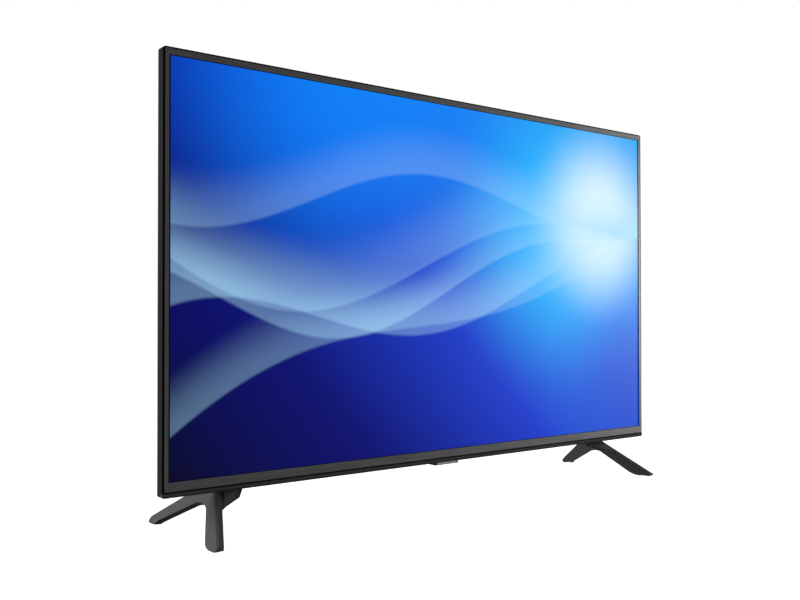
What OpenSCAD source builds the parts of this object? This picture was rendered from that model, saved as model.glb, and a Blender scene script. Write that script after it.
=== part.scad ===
// Flat screen television on two splayed feet.
// Millimetres, +Z up. The origin is on the floor, under the middle of the set from side to side and
// midway between the front and rear tips of the feet. The screen faces -Y.
// Most pieces are drawn in the set's own frame: Y is 0 at the bezel's front face and grows to the back,
// Z is 0 at the underside of the set.

/* [Screen] */
// Width of the lit picture
pic_w = 941; // [900:1:1050]
// Height of the lit picture
pic_h = 529.3; // [500:0.1:600]
// Bare panel edge that shows round the picture
pic_border = 0.6; // [0.5:0.1:2]
// Panel glass beyond the picture on every side
panel_edge = 4.4; // [3.5:0.1:4.6]
// Thickness of the panel glass
panel_t = 1.4; // [1:0.1:2]

/* [Front bezel] */
// Bezel beside the picture, left and right
bezel_side = 6.3; // [6.1:0.1:9]
// Bezel above the picture
bezel_top = 8.7; // [8:0.1:16]
// Bezel below the picture
bezel_bottom = 12.6; // [12:0.1:18]
// Thickness of the bezel's face
bezel_face_t = 1.5; // [1:0.1:2.5]
// Thickness of the bezel's return wall
bezel_wall = 1.2; // [0.8:0.1:1.3]
// Chamfer round the bezel's front edge
bezel_chamfer = 0.5; // [0.4:0.1:1.4]

/* [Frame and bottom trim] */
// Frame standing out past the bezel, left and right
lip_side = 2.5; // [1:0.1:5]
// Frame standing out above the bezel
lip_top = 1.8; // [1:0.1:4]
// How far the frame's lip lies behind the bezel's face
lip_back = 1; // [0.8:0.1:2]
// Height of the bottom trim with its groove
chin_h = 7.5; // [6:0.1:12]
// Height of the groove between bezel and bottom trim
groove_h = 1.8; // [1:0.1:2.5]
// Chamfer along the trim's lower front edge
trim_chamfer = 2; // [0.5:0.1:3]
// Radius of the set's outer corners
corner_r = 4; // [1:0.1:6]
// Thickness of the ledge that carries the panel
ledge_t = 1.6; // [1.2:0.1:3]
// Depth of the frame strip that shows at the side
frame_d = 8; // [7.5:0.1:9]

/* [Backlight] */
// Films and plate beyond the picture on every side
stack_edge = 3; // [2.5:0.1:3.5]
// Thickness of one optical film
film_t = 0.3; // [0.2:0.05:0.6]
// Thickness of the diffuser plate
plate_t = 1.5; // [1:0.1:3]
// Depth of the light box behind the diffuser plate
cavity_d = 24; // [22:0.5:30]
// Flange of the steel tray round its mouth
tray_flange = 8.5; // [8:0.1:12]
// How far the tray's walls lean in over its depth
tray_lean = 20; // [16:0.5:24]
// Thickness of the tray's steel
sheet_t = 1; // [0.8:0.1:1.5]
// Thickness of the white reflector
reflector_t = 0.5; // [0.3:0.1:1]
// Height of one LED strip
strip_h = 16; // [12:0.5:22]
// Thickness of one LED strip
strip_t = 1; // [0.8:0.1:1.6]
// Rise from one LED strip to the next
strip_pitch = 165; // [140:1:175]
// Distance from lens to lens along a strip
lens_pitch = 110; // [95:1:115]
// Lenses on one strip
lens_count = 8; // [6:1:8]
// Radius of a lens
lens_r = 8; // [6:0.5:10]
// Height of a lens
lens_h = 6; // [4:0.5:9]

/* [Rear cover] */
// Wall of the moulded covers
wall = 2.5; // [2:0.1:3]
// Air between the tray and the rear cover
back_gap = 2.5; // [2.2:0.1:4]
// Straight edge of the cover behind the frame strip
edge_d = 2.5; // [1.5:0.1:4]
// Depth over which the cover's edge turns in
edge_turn = 3.5; // [2.5:0.1:5]
// Flat back of the cover beyond the tray's floor, before its border slopes
flat_edge = 4.6; // [4:0.1:8]
// Depth of the electronics cover behind the rear cover
box_depth = 38.4; // [36:0.1:50]
// Half width of the electronics cover at its foot
box_x = 370; // [368:1:380]
// Lean of the electronics cover's side walls
box_lean = 35; // [25:1:36]
// Bottom of the electronics cover above the set's underside
box_z0 = 20; // [18:1:24]
// Top of the electronics cover above the set's underside
box_z1 = 391; // [385:1:400]
// Lean of the electronics cover's bottom wall
box_lean_low = 25; // [20:1:26]
// Lean of the electronics cover's top wall
box_lean_top = 41; // [30:1:42]
// Screwing flange of the electronics cover
box_flange = 10; // [8:0.5:12]

/* [Wall mount] */
// Spacing of the wall mount holes, both ways
vesa = 200; // [200:100:200]
// Height of the wall mount's middle above the set's underside
vesa_z = 225; // [223:1:232]
// Radius of the tapped holes
vesa_hole_r = 2.5; // [2:0.5:3]
// Radius of the wall mount posts
post_r = 7; // [6:0.5:8]

/* [Boards] */
// Height of the stand-offs under the boards
standoff_h = 10; // [8:0.5:12]
// Thickness of a circuit board
board_t = 1.6; // [1.2:0.1:2]
// Inner edge of the two big boards from the middle
board_x0 = 116; // [112:1:120]
// Outer edge of the two big boards from the middle
board_x1 = 316; // [312:1:318]
// Lower edge of the two big boards
board_z0 = 86; // [84:1:90]
// Upper edge of the main board
main_z1 = 250; // [248:1:265]
// Upper edge of the power board
power_z1 = 236; // [230:1:250]

/* [Ports] */
// Inner wall of the port bay from the middle
bay_x = 326; // [324:0.5:330]
// Lower end of the port bay
bay_z0 = 96; // [94:1:98]
// Upper end of the port bay
bay_z1 = 244; // [242:1:250]
// Depth of the port bays, front to back
bay_d = 23; // [20:0.5:24]
// Lower end of the mains inlet bay
inlet_z0 = 140; // [138:1:144]
// Upper end of the mains inlet bay
inlet_z1 = 192; // [188:1:196]

/* [Speakers] */
// Length of a speaker box
speaker_w = 150; // [120:1:170]
// Height of a speaker box
speaker_h = 32; // [28:0.5:34]
// Depth of a speaker box
speaker_d = 29; // [26:0.5:30]
// Middle of a speaker box from the middle of the set
speaker_x = 230; // [215:1:240]
// Underside of a speaker box
speaker_z = 49; // [48:0.5:51]

/* [Sensor and power key] */
// Width of the sensor housing under the set
sensor_w = 47; // [44:0.5:52]
// Depth of the sensor housing, front to back
sensor_d = 20; // [18:0.5:22]
// How far the sensor housing hangs below the set
sensor_h = 5.5; // [4.5:0.1:7]
// Radius of the power key
key_r = 4; // [3:0.1:5]
// How far the power key stands out at rest
key_out = 1; // [0.6:0.1:1.4]
// Travel of the power key
key_travel = 1; // [0.5:0.1:1.2]

/* [Feet] */
// Height of the set's underside above the floor
leg_h = 61; // [50:1:80]
// Reach of the front tips ahead of the bezel's face
foot_front = 59; // [45:1:75]
// Reach of the rear tips behind the bezel's face
foot_back = 145; // [130:1:180]
// Top outer edge of a foot in from the set's side
foot_inset = 88.3; // [80:0.1:95]
// Outward lean of a foot over its height, as a slope
foot_lean = 0.75; // [0.6:0.01:0.85]
// Thickness of a foot at its root
foot_root_t = 14; // [12:0.5:18]
// Thickness of a foot at its soles
foot_t = 19; // [17:0.5:24]
// Thickness of a foot at its leading edge and below its gusset
foot_edge_t = 8; // [7:0.5:12]
// Reach of the gusset towards the middle of the set
gusset_w = 49; // [44:1:60]
// Depth of the gusset below the set
gusset_h = 22; // [20:1:28]
// Length of the front sole
sole_front = 25; // [20:1:28]
// Length of the rear sole
sole_rear = 15; // [13:1:22]
// Rubber pad showing under each sole
pad_show = 0.8; // [0.5:0.1:1.5]

/* [Fits] */
// Gap round pieces that drop into a seat
fit = 0.3; // [0.2:0.05:0.4]
// Radius of the small screws' shanks
screw_r = 1.5; // [1.2:0.1:1.6]
// Radius of the small screws' heads
screw_head_r = 3; // [2.6:0.1:3.2]
// Height of the screws' heads
screw_head_h = 2; // [1.5:0.1:2.4]

/* [Hidden] */
$fn = 40;

// Front of the set
bezel_w = pic_w + 2 * bezel_side;
bezel_h = pic_h + bezel_top + bezel_bottom;
bezel_d = bezel_face_t + panel_t + ledge_t;
frame_w = bezel_w + 2 * lip_side;
bezel_z1 = chin_h + bezel_h;
set_h = bezel_z1 + lip_top;
pic_z0 = chin_h + bezel_bottom;
pic_z1 = pic_z0 + pic_h;
pic_zc = (pic_z0 + pic_z1) / 2;
frame_y = bezel_d + frame_d;
panel_z0 = pic_z0 - panel_edge;

// Backlight stack, front to back
stack_x = pic_w / 2 + stack_edge;
stack_z0 = pic_z0 - stack_edge;
stack_z1 = pic_z1 + stack_edge;
plate_y = bezel_d + 2 * film_t;
tray_y = plate_y + plate_t;
floor_y = tray_y + cavity_d;
tray_back = floor_y + sheet_t;
tray_k = tray_lean / cavity_d;
mouth_x = stack_x - tray_flange;
mouth_z0 = stack_z0 + tray_flange;
mouth_z1 = stack_z1 - tray_flange;
strip_len = 2 * (mouth_x - tray_lean) - 40;
strip_y = floor_y - strip_t;

// Driver films and source boards along the lower edge
driver_count = 8;
driver_w = 40;
driver_t = 0.3;
source_gap = 40;
source_t = 1.2;
source_x1 = frame_w / 2 - 60;
source_z0 = wall + 1.5;

// Rear cover
edge_y0 = frame_y + edge_d;
edge_y1 = edge_y0 + edge_turn;
cover_inner_y = tray_back + back_gap;
back_y = cover_inner_y + wall;
flat_x = mouth_x - tray_lean + flat_edge;
flat_z1 = mouth_z1 - tray_lean + flat_edge;
cover_turn_r = 5;
lean_wall = wall * 1.3;
opening_x = box_x - 15;
opening_z0 = box_z0 + 8;
opening_z1 = box_z1 - 11;
boss_r = 3.5;
boss_bore_r = screw_r + 0.2;
side_screw_x = (mouth_x + stack_x + fit) / 2;
side_screw_z = [for (i = [0:3]) pic_z0 + 60 + i * (pic_h - 120) / 3];
side_seat_y = edge_y1 - 1;
low_screw_x = [-frame_w / 2 + 30, -30, 30, frame_w / 2 - 30];
low_screw_z = wall + 6;
low_boss_r = 5;
low_seat_y = frame_y + 6;
vent_pitch = 10;
vent_w = 3;
vent_h = 28;

// Electronics cover
box_y = back_y + box_depth;
box_inner_y = box_y - wall;
flange_y = back_y + wall;
bay_y1 = flange_y + bay_d;
box_screws = [for (x = [-1, 0, 1]) for (z = [0, 1]) [x * (box_x + box_flange / 2 - 4), z]];

// Boards and ports
board_y = tray_back + standoff_h;
board_back = board_y + board_t;
standoff_r = 3.5;
board_hole_in = 6;
tcon_w = 130;
tcon_h = 48;
tcon_below_post = 35;
ribbon_in = 14;
ribbon_lift = 2.4;
tcon_z0 = vesa_z - vesa / 2 - tcon_below_post;
tcon_z1 = tcon_z0 + tcon_h;
port_end = bay_x - fit;
port_wall = 0.6;
hdmi_z = [bay_z0 + 16, bay_z0 + 38];
usb_z = [bay_z0 + 58, bay_z0 + 76];
lan_z = bay_z0 + 97;
audio_z = bay_z0 + 116;
aerial_z = bay_z0 + 134;
inlet_z = (inlet_z0 + inlet_z1) / 2;
inlet_w = 24;
inlet_d = 14;
inlet_y = board_back + inlet_d / 2;
pin_pitch = 8.7;
pin_r = 1.2;
inlet_cut = 4.3;

// Speakers
grommet_t = 2;
speaker_y = tray_back + grommet_t;
driver_r = 11;

// Sensor housing and power key
sensor_y0 = frame_y - 2.5;
sensor_wall = 1.2;
key_y = sensor_y0 + sensor_d / 2;
key_flange_t = 1;
key_gap = 0.3;
switch_z = wall - key_flange_t;
sensor_board_z = switch_z + 2;
sensor_floor_z = sensor_wall - sensor_h;
sensor_hole_x = 18;
sensor_hole_d = 12;

// Feet
face_y = (foot_front - foot_back) / 2;
foot_x = frame_w / 2 - foot_inset;
sole_z = pad_show - leg_h;
front_edge_y = back_y - 7.5;
arch_z = -0.26 * leg_h;
arch_y = front_edge_y - 3;
arch_r = 28;
gusset_r = 26;
gusset_low = gusset_h + 14;
gusset_tuck = 2;
gusset_end_h = 6;
gusset_end_r = 7;
heel_r = 13;
pad_t = 2 * pad_show;
tip_h = 3;
tip_r = 2.4;
tip_rear = 6;
leading_cut = 1.1;
plate_h = 6;
plate_y1 = back_y - cover_turn_r;
plate_y0 = plate_y1 - 10;
plate_x0 = foot_x - 36;
plate_x1 = foot_x - 4;
plate_cut = 4;
foot_screw_r = 2;
foot_head_h = 2.5;
foot_seat_z = foot_head_h - plate_h;
foot_screws_at = [[plate_x0 + 8, plate_y1 - 3], [plate_x1 - 7, plate_y1 - 3]];
bracket_t = 3;
bracket_w = 56;
bracket_x = foot_x - 17;
bracket_h = 72;
bracket_y = cover_inner_y - 0.5;

// Direction of a vector, and a vector turned by an angle
function unit(v) = v / norm(v);
function turned(v, a) = [v.x * cos(a) - v.y * sin(a), v.x * sin(a) + v.y * cos(a)];

// Arc that replaces corner c between its neighbours p and n
function corner_arc(p, c, n, r, steps) =
    let (u = unit(p - c))
    let (v = unit(n - c))
    let (half = acos(u * v) / 2)
    let (centre = c + unit(u + v) * r / sin(half))
    let (start = c + u * r / tan(half) - centre)
    let (sweep = -sign(cross(u, v)) * (180 - 2 * half))
    [for (i = [0:steps]) centre + turned(start, sweep * i / steps)];

// Outline whose corners [x, y, r] are rounded to their radius
function xy(p) = [p[0], p[1]];
function rounded(points, steps = 6) =
    let (last = len(points) - 1)
    [for (i = [0:last])
        let (c = points[i])
        let (p = points[i == 0 ? last : i - 1])
        let (n = points[i == last ? 0 : i + 1])
        each c[2] == 0 ? [xy(c)] : corner_arc(xy(p), xy(c), xy(n), c[2], steps)];

// Places its children in the set's own frame
module set_frame() translate([0, face_y, leg_h]) children();

// Block between two corners
module block(x0, x1, y0, y1, z0, z1)
    translate([x0, y0, z0]) cube([x1 - x0, y1 - y0, z1 - z0]);

// Prism of an [x, y] outline from z0 to z1
module along_z(z0, z1) translate([0, 0, z0]) linear_extrude(z1 - z0) children();

// Prism of an [x, z] outline from y0 to y1
module along_y(y0, y1) translate([0, y1, 0]) rotate([90, 0, 0]) linear_extrude(y1 - y0) children();

// Prism of a [y, z] outline across the width w
module along_x(w) rotate([90, 0, 90]) linear_extrude(w, center = true) children();

// Round bar from y0 to y1
module bar_y(x, z, r, y0, y1) translate([x, y1, z]) rotate([90, 0, 0]) cylinder(r = r, h = y1 - y0);

// Round bar from x0 to x1
module bar_x(y, z, r, x0, x1) translate([x0, y, z]) rotate([0, 90, 0]) cylinder(r = r, h = x1 - x0);

// Rectangular frustum between the planes y1 and y2, with half widths x1 and x2
module frustum(x1, y1, low1, high1, x2, y2, low2, high2) intersection() {
    along_z(min(low1, low2), max(high1, high2)) polygon([[-x1, y1], [x1, y1], [x2, y2], [-x2, y2]]);
    along_x(2 * max(x1, x2)) polygon([[y1, low1], [y1, high1], [y2, high2], [y2, low2]]);
}

// Round lead through a list of points
module lead(points, r) {
    for (i = [0:len(points) - 2]) {
        step = points[i + 1] - points[i];
        translate(points[i]) rotate([0, acos(step.z / norm(step)), atan2(step.y, step.x)])
            cylinder(r = r, h = norm(step), $fn = 16);
    }
    for (i = [1:1:len(points) - 2]) translate(points[i]) sphere(r = r * 1.08, $fn = 16);
}

// Pan head screw along Y: the head behind seat_y, the shank ahead of it down to tip_y
module screw_y(x, z, seat_y, tip_y) {
    bar_y(x, z, screw_head_r, seat_y, seat_y + screw_head_h);
    bar_y(x, z, screw_r, tip_y, seat_y);
}

// Front outline of the whole set with its rounded corners
module set_outline() polygon(rounded([
    [-frame_w / 2, 0, corner_r], [frame_w / 2, 0, corner_r],
    [frame_w / 2, set_h, corner_r], [-frame_w / 2, set_h, corner_r]]));

// Rectangle round the picture, larger by edge on every side
module picture_rect(edge) translate([-pic_w / 2 - edge, pic_z0 - edge])
    square([pic_w + 2 * edge, pic_h + 2 * edge]);

module front_bezel() color("#4a4a4c") set_frame() difference() {
    intersection() {
        along_z(chin_h, bezel_z1) polygon([
            [-bezel_w / 2 + bezel_chamfer, 0], [bezel_w / 2 - bezel_chamfer, 0],
            [bezel_w / 2, bezel_chamfer], [bezel_w / 2, bezel_d],
            [-bezel_w / 2, bezel_d], [-bezel_w / 2, bezel_chamfer]]);
        along_x(bezel_w) polygon([
            [0, chin_h + bezel_chamfer], [bezel_chamfer, chin_h], [bezel_d, chin_h],
            [bezel_d, bezel_z1], [bezel_chamfer, bezel_z1], [0, bezel_z1 - bezel_chamfer]]);
    }
    along_y(-1, bezel_face_t + 1) picture_rect(pic_border);
    block(-bezel_w / 2 + bezel_wall, bezel_w / 2 - bezel_wall, bezel_face_t, bezel_d + 1,
        chin_h + bezel_wall, bezel_z1 - bezel_wall);
}

module bottom_trim() color("#2c2c2e") set_frame() intersection() {
    along_x(frame_w) polygon([
        [0, chin_h - groove_h], [0, trim_chamfer], [trim_chamfer, 0],
        [bezel_d, 0], [bezel_d, chin_h - groove_h]]);
    along_y(0, bezel_d) set_outline();
}

// Middle of each driver film along the lower edge
function driver_x(i) =
    let (side = i < driver_count / 2 ? -1 : 1)
    let (k = i % (driver_count / 2))
    let (span = source_x1 - source_gap)
    side * (source_gap + span * (k + 0.5) / (driver_count / 2));

module middle_frame() color("#2a2a2c") set_frame() difference() {
    union() {
        along_y(bezel_d, frame_y) difference() {
            set_outline();
            picture_rect(stack_edge + 0.5);
        }
        along_y(lip_back, bezel_d) difference() {
            set_outline();
            translate([-frame_w, -1]) square([2 * frame_w, chin_h - groove_h + fit + 1]);
            translate([-bezel_w / 2 - fit, 0]) square([bezel_w + 2 * fit, bezel_z1 + fit]);
        }
        along_y(bezel_face_t + panel_t, bezel_d) difference() {
            translate([-bezel_w / 2 + bezel_wall + fit, chin_h + bezel_wall + fit])
                square([bezel_w - 2 * (bezel_wall + fit), bezel_h - 2 * (bezel_wall + fit)]);
            picture_rect(pic_border);
        }
    }
    for (i = [0:driver_count - 1])
        block(driver_x(i) - driver_w / 2 - fit, driver_x(i) + driver_w / 2 + fit, 0, frame_y + 1,
            panel_z0 - driver_t - fit, panel_z0 + fit);
    for (x = low_screw_x) bar_y(x, low_screw_z, screw_r + 0.1, frame_y - 5.5, frame_y + 1);
}

module lcd_panel() color("#0b3fc4") set_frame()
    along_y(bezel_face_t, bezel_face_t + panel_t) picture_rect(panel_edge);

module driver_films() color("#c98a2b") set_frame()
    for (i = [0:driver_count - 1])
        block(driver_x(i) - driver_w / 2, driver_x(i) + driver_w / 2, bezel_face_t + 0.2,
            frame_y + source_t, panel_z0 - driver_t, panel_z0);

// Long narrow board behind the lower frame bar, with its driver chips' connectors
module source_board(side) set_frame() {
    x0 = side > 0 ? source_gap : -source_x1;
    x1 = side > 0 ? source_x1 : -source_gap;
    block(x0, x1, frame_y, frame_y + source_t, source_z0, panel_z0 - driver_t);
    near = side * (source_gap + 18);
    block(near - 12, near + 12, frame_y + source_t, frame_y + source_t + 2, source_z0 + 2, source_z0 + 7);
}

module source_board_left() color("#1d5b34") source_board(-1);

module source_board_right() color("#1d5b34") source_board(1);

module prism_film() color("#e8ecef") set_frame()
    along_y(bezel_d, bezel_d + film_t) picture_rect(stack_edge);

module diffuser_film() color("#f2f3f3") set_frame()
    along_y(bezel_d + film_t, plate_y) picture_rect(stack_edge);

module diffuser_plate() color("#fafafa") set_frame()
    along_y(plate_y, tray_y) picture_rect(stack_edge);

// Inside of the light box, drawn in from the tray's walls by gap and ending at depth end_y
module light_box(gap, end_y) {
    mouth = tray_y - 1;
    lean = tray_k * (end_y - mouth);
    x1 = mouth_x + tray_k - gap;
    frustum(x1, mouth, mouth_z0 - tray_k + gap, mouth_z1 + tray_k - gap,
        x1 - lean, end_y, mouth_z0 - tray_k + gap + lean, mouth_z1 + tray_k - gap - lean);
}

// Calls its children at every lens
module each_lens()
    for (row = [-1, 0, 1])
        for (i = [0:lens_count - 1])
            translate([(i - (lens_count - 1) / 2) * lens_pitch, 0, pic_zc + row * strip_pitch]) children();

module reflector_sheet() color("#f7f7f7") set_frame() difference() {
    intersection() {
        light_box(fit, strip_y);
        block(-stack_x, stack_x, tray_y + fit, tray_back, stack_z0, stack_z1);
    }
    light_box(fit + reflector_t, strip_y - reflector_t);
    each_lens() bar_y(0, 0, lens_r + 1, tray_y, tray_back);
}

module led_strip(row) set_frame() {
    z = pic_zc + row * strip_pitch;
    block(-strip_len / 2, strip_len / 2, strip_y, floor_y, z - strip_h / 2, z + strip_h / 2);
}

module led_strip_top() color("#e4e4de") led_strip(1);

module led_strip_middle() color("#e4e4de") led_strip(0);

module led_strip_bottom() color("#e4e4de") led_strip(-1);

module led_lenses() color("#dfe9ee") set_frame() each_lens()
    translate([0, strip_y, 0]) rotate([90, 0, 0]) {
        cylinder(r = lens_r, h = lens_h / 2);
        translate([0, 0, lens_h / 2]) cylinder(r1 = lens_r, r2 = lens_r / 2, h = lens_h / 2);
    }

module plate_supports() color("#ffffff") set_frame()
    for (x = [-2 * lens_pitch, 2 * lens_pitch])
        for (z = [-strip_pitch / 2, strip_pitch / 2])
            translate([x, strip_y - reflector_t, pic_zc + z]) rotate([90, 0, 0])
                cylinder(r1 = 6, r2 = 1.5, h = strip_y - reflector_t - tray_y - fit);

// Places of the boards' fixing holes
board_holes = concat(
    [for (x = [board_x0 + board_hole_in, board_x1 - board_hole_in])
        for (z = [board_z0 + board_hole_in, main_z1 - board_hole_in]) [x, z]],
    [for (x = [board_x0 + board_hole_in, board_x1 - board_hole_in])
        for (z = [board_z0 + board_hole_in, power_z1 - board_hole_in]) [-x, z]],
    [for (x = [-1, 1]) [x * (tcon_w / 2 - board_hole_in), tcon_z1 - board_hole_in]]);

module back_plate() color("#b9bcbe") set_frame() difference() {
    union() {
        along_y(tray_y, tray_y + sheet_t) picture_rect(stack_edge);
        intersection() {
            light_box(-lean_wall / 2, tray_back);
            block(-stack_x, stack_x, tray_y, tray_back, stack_z0, stack_z1);
        }
        for (p = board_holes) bar_y(p[0], p[1], standoff_r, tray_back, board_y);
    }
    light_box(0, floor_y);
    for (p = board_holes) bar_y(p[0], p[1], screw_r + 0.1, tray_back + 2, board_y + 1);
    for (side = [-1, 1])
        for (z = side_screw_z) bar_y(side * side_screw_x, z, screw_r + 0.1, 0, tray_y + 2);
    bar_y(-board_x0 - 40, pic_zc, 3, floor_y - 1, tray_back + 1);
}

// Calls its children at the four wall mount holes
module each_vesa()
    for (x = [-1, 1])
        for (z = [-1, 1]) translate([x * vesa / 2, 0, vesa_z + z * vesa / 2]) children();

module wall_mount_posts() color("#8d9093") set_frame() each_vesa() difference() {
    bar_y(0, 0, post_r, tray_back, box_inner_y);
    bar_y(0, 0, vesa_hole_r, box_inner_y - 25, box_inner_y + 1);
}

// Plan and side outlines of the rear cover, drawn in by t from its outer face
module cover_plan(t) {
    x = frame_w / 2 - t;
    polygon(rounded([
        [-x, frame_y - (t > 0 ? 1 : 0), 0], [x, frame_y - (t > 0 ? 1 : 0), 0],
        [x, edge_y0, 0], [x - edge_turn, edge_y1 - t / 2, 2], [flat_x, back_y - t, 8],
        [-flat_x, back_y - t, 8], [-x + edge_turn, edge_y1 - t / 2, 2], [-x, edge_y0, 0]]));
}

module cover_side(t) polygon(rounded([
    [frame_y - (t > 0 ? 1 : 0), t, 0], [back_y - t, t, cover_turn_r - t], [back_y - t, flat_z1, 8],
    [edge_y1 - t / 2, set_h - t - edge_turn, 2], [edge_y0, set_h - t, 0],
    [frame_y - (t > 0 ? 1 : 0), set_h - t, 0]]));

module cover_form(t) intersection() {
    along_z(t, set_h - t) cover_plan(t);
    along_x(frame_w) cover_side(t);
}

module rear_cover() color("#1f1f21") set_frame() difference() {
    union() {
        difference() {
            intersection() {
                cover_form(0);
                along_y(frame_y, back_y) set_outline();
            }
            cover_form(wall);
            block(-opening_x, opening_x, frame_y, back_y + 1, opening_z0, opening_z1);
        }
        intersection() {
            for (side = [-1, 1])
                for (z = side_screw_z) bar_y(side * side_screw_x, z, boss_r, tray_y + sheet_t, back_y);
            union() {
                cover_form(0);
                block(-frame_w / 2, frame_w / 2, 0, frame_y, 0, set_h);
            }
        }
        for (x = low_screw_x) bar_y(x, low_screw_z, low_boss_r, frame_y, cover_inner_y + 0.5);
    }
    for (side = [-1, 1])
        for (z = side_screw_z) {
            bar_y(side * side_screw_x, z, boss_bore_r, 0, back_y);
            bar_y(side * side_screw_x, z, screw_head_r + fit, side_seat_y, back_y);
        }
    for (x = low_screw_x) {
        bar_y(x, low_screw_z, boss_bore_r, frame_y - 1, back_y);
        bar_y(x, low_screw_z, screw_head_r + fit, low_seat_y, back_y + 1);
    }
    for (p = box_screws) bar_y(p[0], box_screw_z(p), screw_r + 0.1, cover_inner_y - 1, back_y + 1);
    for (side = [-1, 1])
        for (p = foot_screws_at)
            translate([side * p.x, p.y, -1]) cylinder(r = foot_screw_r + 0.3, h = wall + 2);
    block(-sensor_hole_x, sensor_hole_x, key_y - sensor_hole_d / 2, key_y + sensor_hole_d / 2, -1, wall + 1);
    for (i = [-11:11])
        block(i * vent_pitch - vent_w / 2, i * vent_pitch + vent_w / 2, frame_y, back_y + 1,
            box_z1 + 50, box_z1 + 50 + vent_h);
}

// Form of the electronics cover, drawn in by t from its outer face
module box_form(t) {
    side = t * 1.35;
    below = t > 0 ? 1 : 0;
    frustum(box_x - side + below, back_y - below, box_z0 + side - below, box_z1 - side + below,
        box_x - box_lean - side, box_y - t, box_z0 + box_lean_low + side, box_z1 - box_lean_top - side);
}

// Port bay on one side, grown by t for the wall round it
module bay(side, z0, z1, t) mirror([side < 0 ? 1 : 0, 0, 0])
    block(bay_x - t, box_x + 50, flange_y - t, bay_y1 + t, z0 - t, z1 + t);

module electronics_cover() color("#1b1b1d") set_frame() difference() {
    union() {
        box_form(0);
        block(-box_x - box_flange, box_x + box_flange, back_y, flange_y,
            box_z0 - box_flange, box_z1 + box_flange);
    }
    difference() {
        box_form(wall);
        bay(1, bay_z0, bay_z1, wall);
        bay(-1, inlet_z0, inlet_z1, wall);
    }
    bay(1, bay_z0, bay_z1, 0);
    bay(-1, inlet_z0, inlet_z1, 0);
    each_vesa() bar_y(0, 0, vesa_hole_r + 1.5, box_inner_y - 1, box_y + 1);
    for (p = box_screws) bar_y(p[0], box_screw_z(p), boss_bore_r, back_y - 1, flange_y + 1);
    port_cuts();
    for (i = [-8:8]) {
        block(i * vent_pitch - vent_w / 2, i * vent_pitch + vent_w / 2, box_inner_y - 2, box_y + 1,
            vesa_z + 30, vesa_z + 30 + vent_h);
        for (side = [-1, 1])
            block(side * speaker_x + i * 7 - 1.5, side * speaker_x + i * 7 + 1.5,
                speaker_y + 8, speaker_y + speaker_d - 6, box_z0, speaker_z);
    }
}

// Height of a flange screw: along the lower or the upper flange
function box_screw_z(p) = p[1] == 0 ? box_z0 - box_flange / 2 + 1 : box_z1 + box_flange / 2 - 1;

// Cut-outs in the bay walls for the sockets
module port_cuts() {
    x0 = bay_x - wall - 1;
    x1 = bay_x + 1;
    for (z = hdmi_z) block(x0, x1, board_back - fit, board_back + 6 + fit, z - 7.5 - fit, z + 7.5 + fit);
    for (z = usb_z) block(x0, x1, board_back - fit, board_back + 7 + fit, z - 7 - fit, z + 7 + fit);
    block(x0, x1, board_back - fit, board_back + 14 + fit, lan_z - 8 - fit, lan_z + 8 + fit);
    bar_x(board_back + 5, audio_z, 4 + fit, x0, x1);
    bar_x(board_back + 6, aerial_z, 5.5 + fit, x0, x1);
    block(-x1, -x0, board_back - fit, board_back + inlet_d + fit,
        inlet_z - inlet_w / 2 - fit, inlet_z + inlet_w / 2 + fit);
}

module rear_cover_screws() color("#3a3a3c") set_frame() {
    for (side = [-1, 1])
        for (z = side_screw_z) screw_y(side * side_screw_x, z, side_seat_y, tray_y);
    for (x = low_screw_x) screw_y(x, low_screw_z, low_seat_y, frame_y - 5);
}

module electronics_cover_screws() color("#3a3a3c") set_frame()
    for (p = box_screws) screw_y(p[0], box_screw_z(p), flange_y, cover_inner_y);

// Bare board with its fixing holes and its solder side towards the tray
module board_blank(x0, x1, z0, z1) difference() {
    block(x0, x1, board_y, board_back, z0, z1);
    for (p = board_holes) bar_y(p[0], p[1], screw_r + 0.3, board_y - 1, board_back + 1);
}

module mainboard() color("#14532d") set_frame() {
    board_blank(board_x0, board_x1, board_z0, main_z1);
    for (z = [board_z0 + 40, board_z0 + 62])
        block(board_x0 + 90, board_x0 + 104, board_back, board_back + 1.4, z, z + 16);
    block(board_x0 + 40, board_x0 + 76, board_back, board_back + 2, board_z0 + 58, board_z0 + 94);
    block(board_x0 + ribbon_in, board_x0 + ribbon_in + 8, board_back, board_back + 4,
        tcon_z0 + 6, tcon_z0 + 26);
    block(board_x0 + 40, board_x0 + 56, board_back, board_back + 6, board_z0, board_z0 + 6);
    block(board_x0 + 4, board_x0 + 14, board_back, board_back + 8, main_z1 - 46, main_z1 - 16);
    for (i = [0:3]) bar_y(board_x0 + 40 + i * 16, main_z1 - 24, 5, board_back, board_back + 12);
}

module processor_heatsink() color("#26282b") set_frame() difference() {
    y0 = board_back + 2;
    x0 = board_x0 + 38;
    z0 = board_z0 + 56;
    block(x0, x0 + 40, y0, y0 + 12, z0, z0 + 40);
    for (i = [0:6]) block(x0 + 3 + i * 5.2, x0 + 6 + i * 5.2, y0 + 3, y0 + 13, z0 - 1, z0 + 41);
}

// Metal socket shell on the board's edge, open towards the bay, with a contact tongue
module socket_shell(z, w, h, depth, tongue_h, tongue_y) {
    x0 = port_end - depth;
    difference() {
        block(x0, port_end, board_back, board_back + h, z - w / 2, z + w / 2);
        block(x0 + 2, port_end + 1, board_back + port_wall, board_back + h - port_wall,
            z - w / 2 + port_wall, z + w / 2 - port_wall);
    }
    block(x0 + 1, port_end - 2, board_back + tongue_y, board_back + tongue_y + tongue_h,
        z - w / 2 + 1.6, z + w / 2 - 1.6);
}

module hdmi_sockets() color("#9a9da0") set_frame()
    for (z = hdmi_z) socket_shell(z, 15, 6, 18, 1.2, 2.4);

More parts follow.
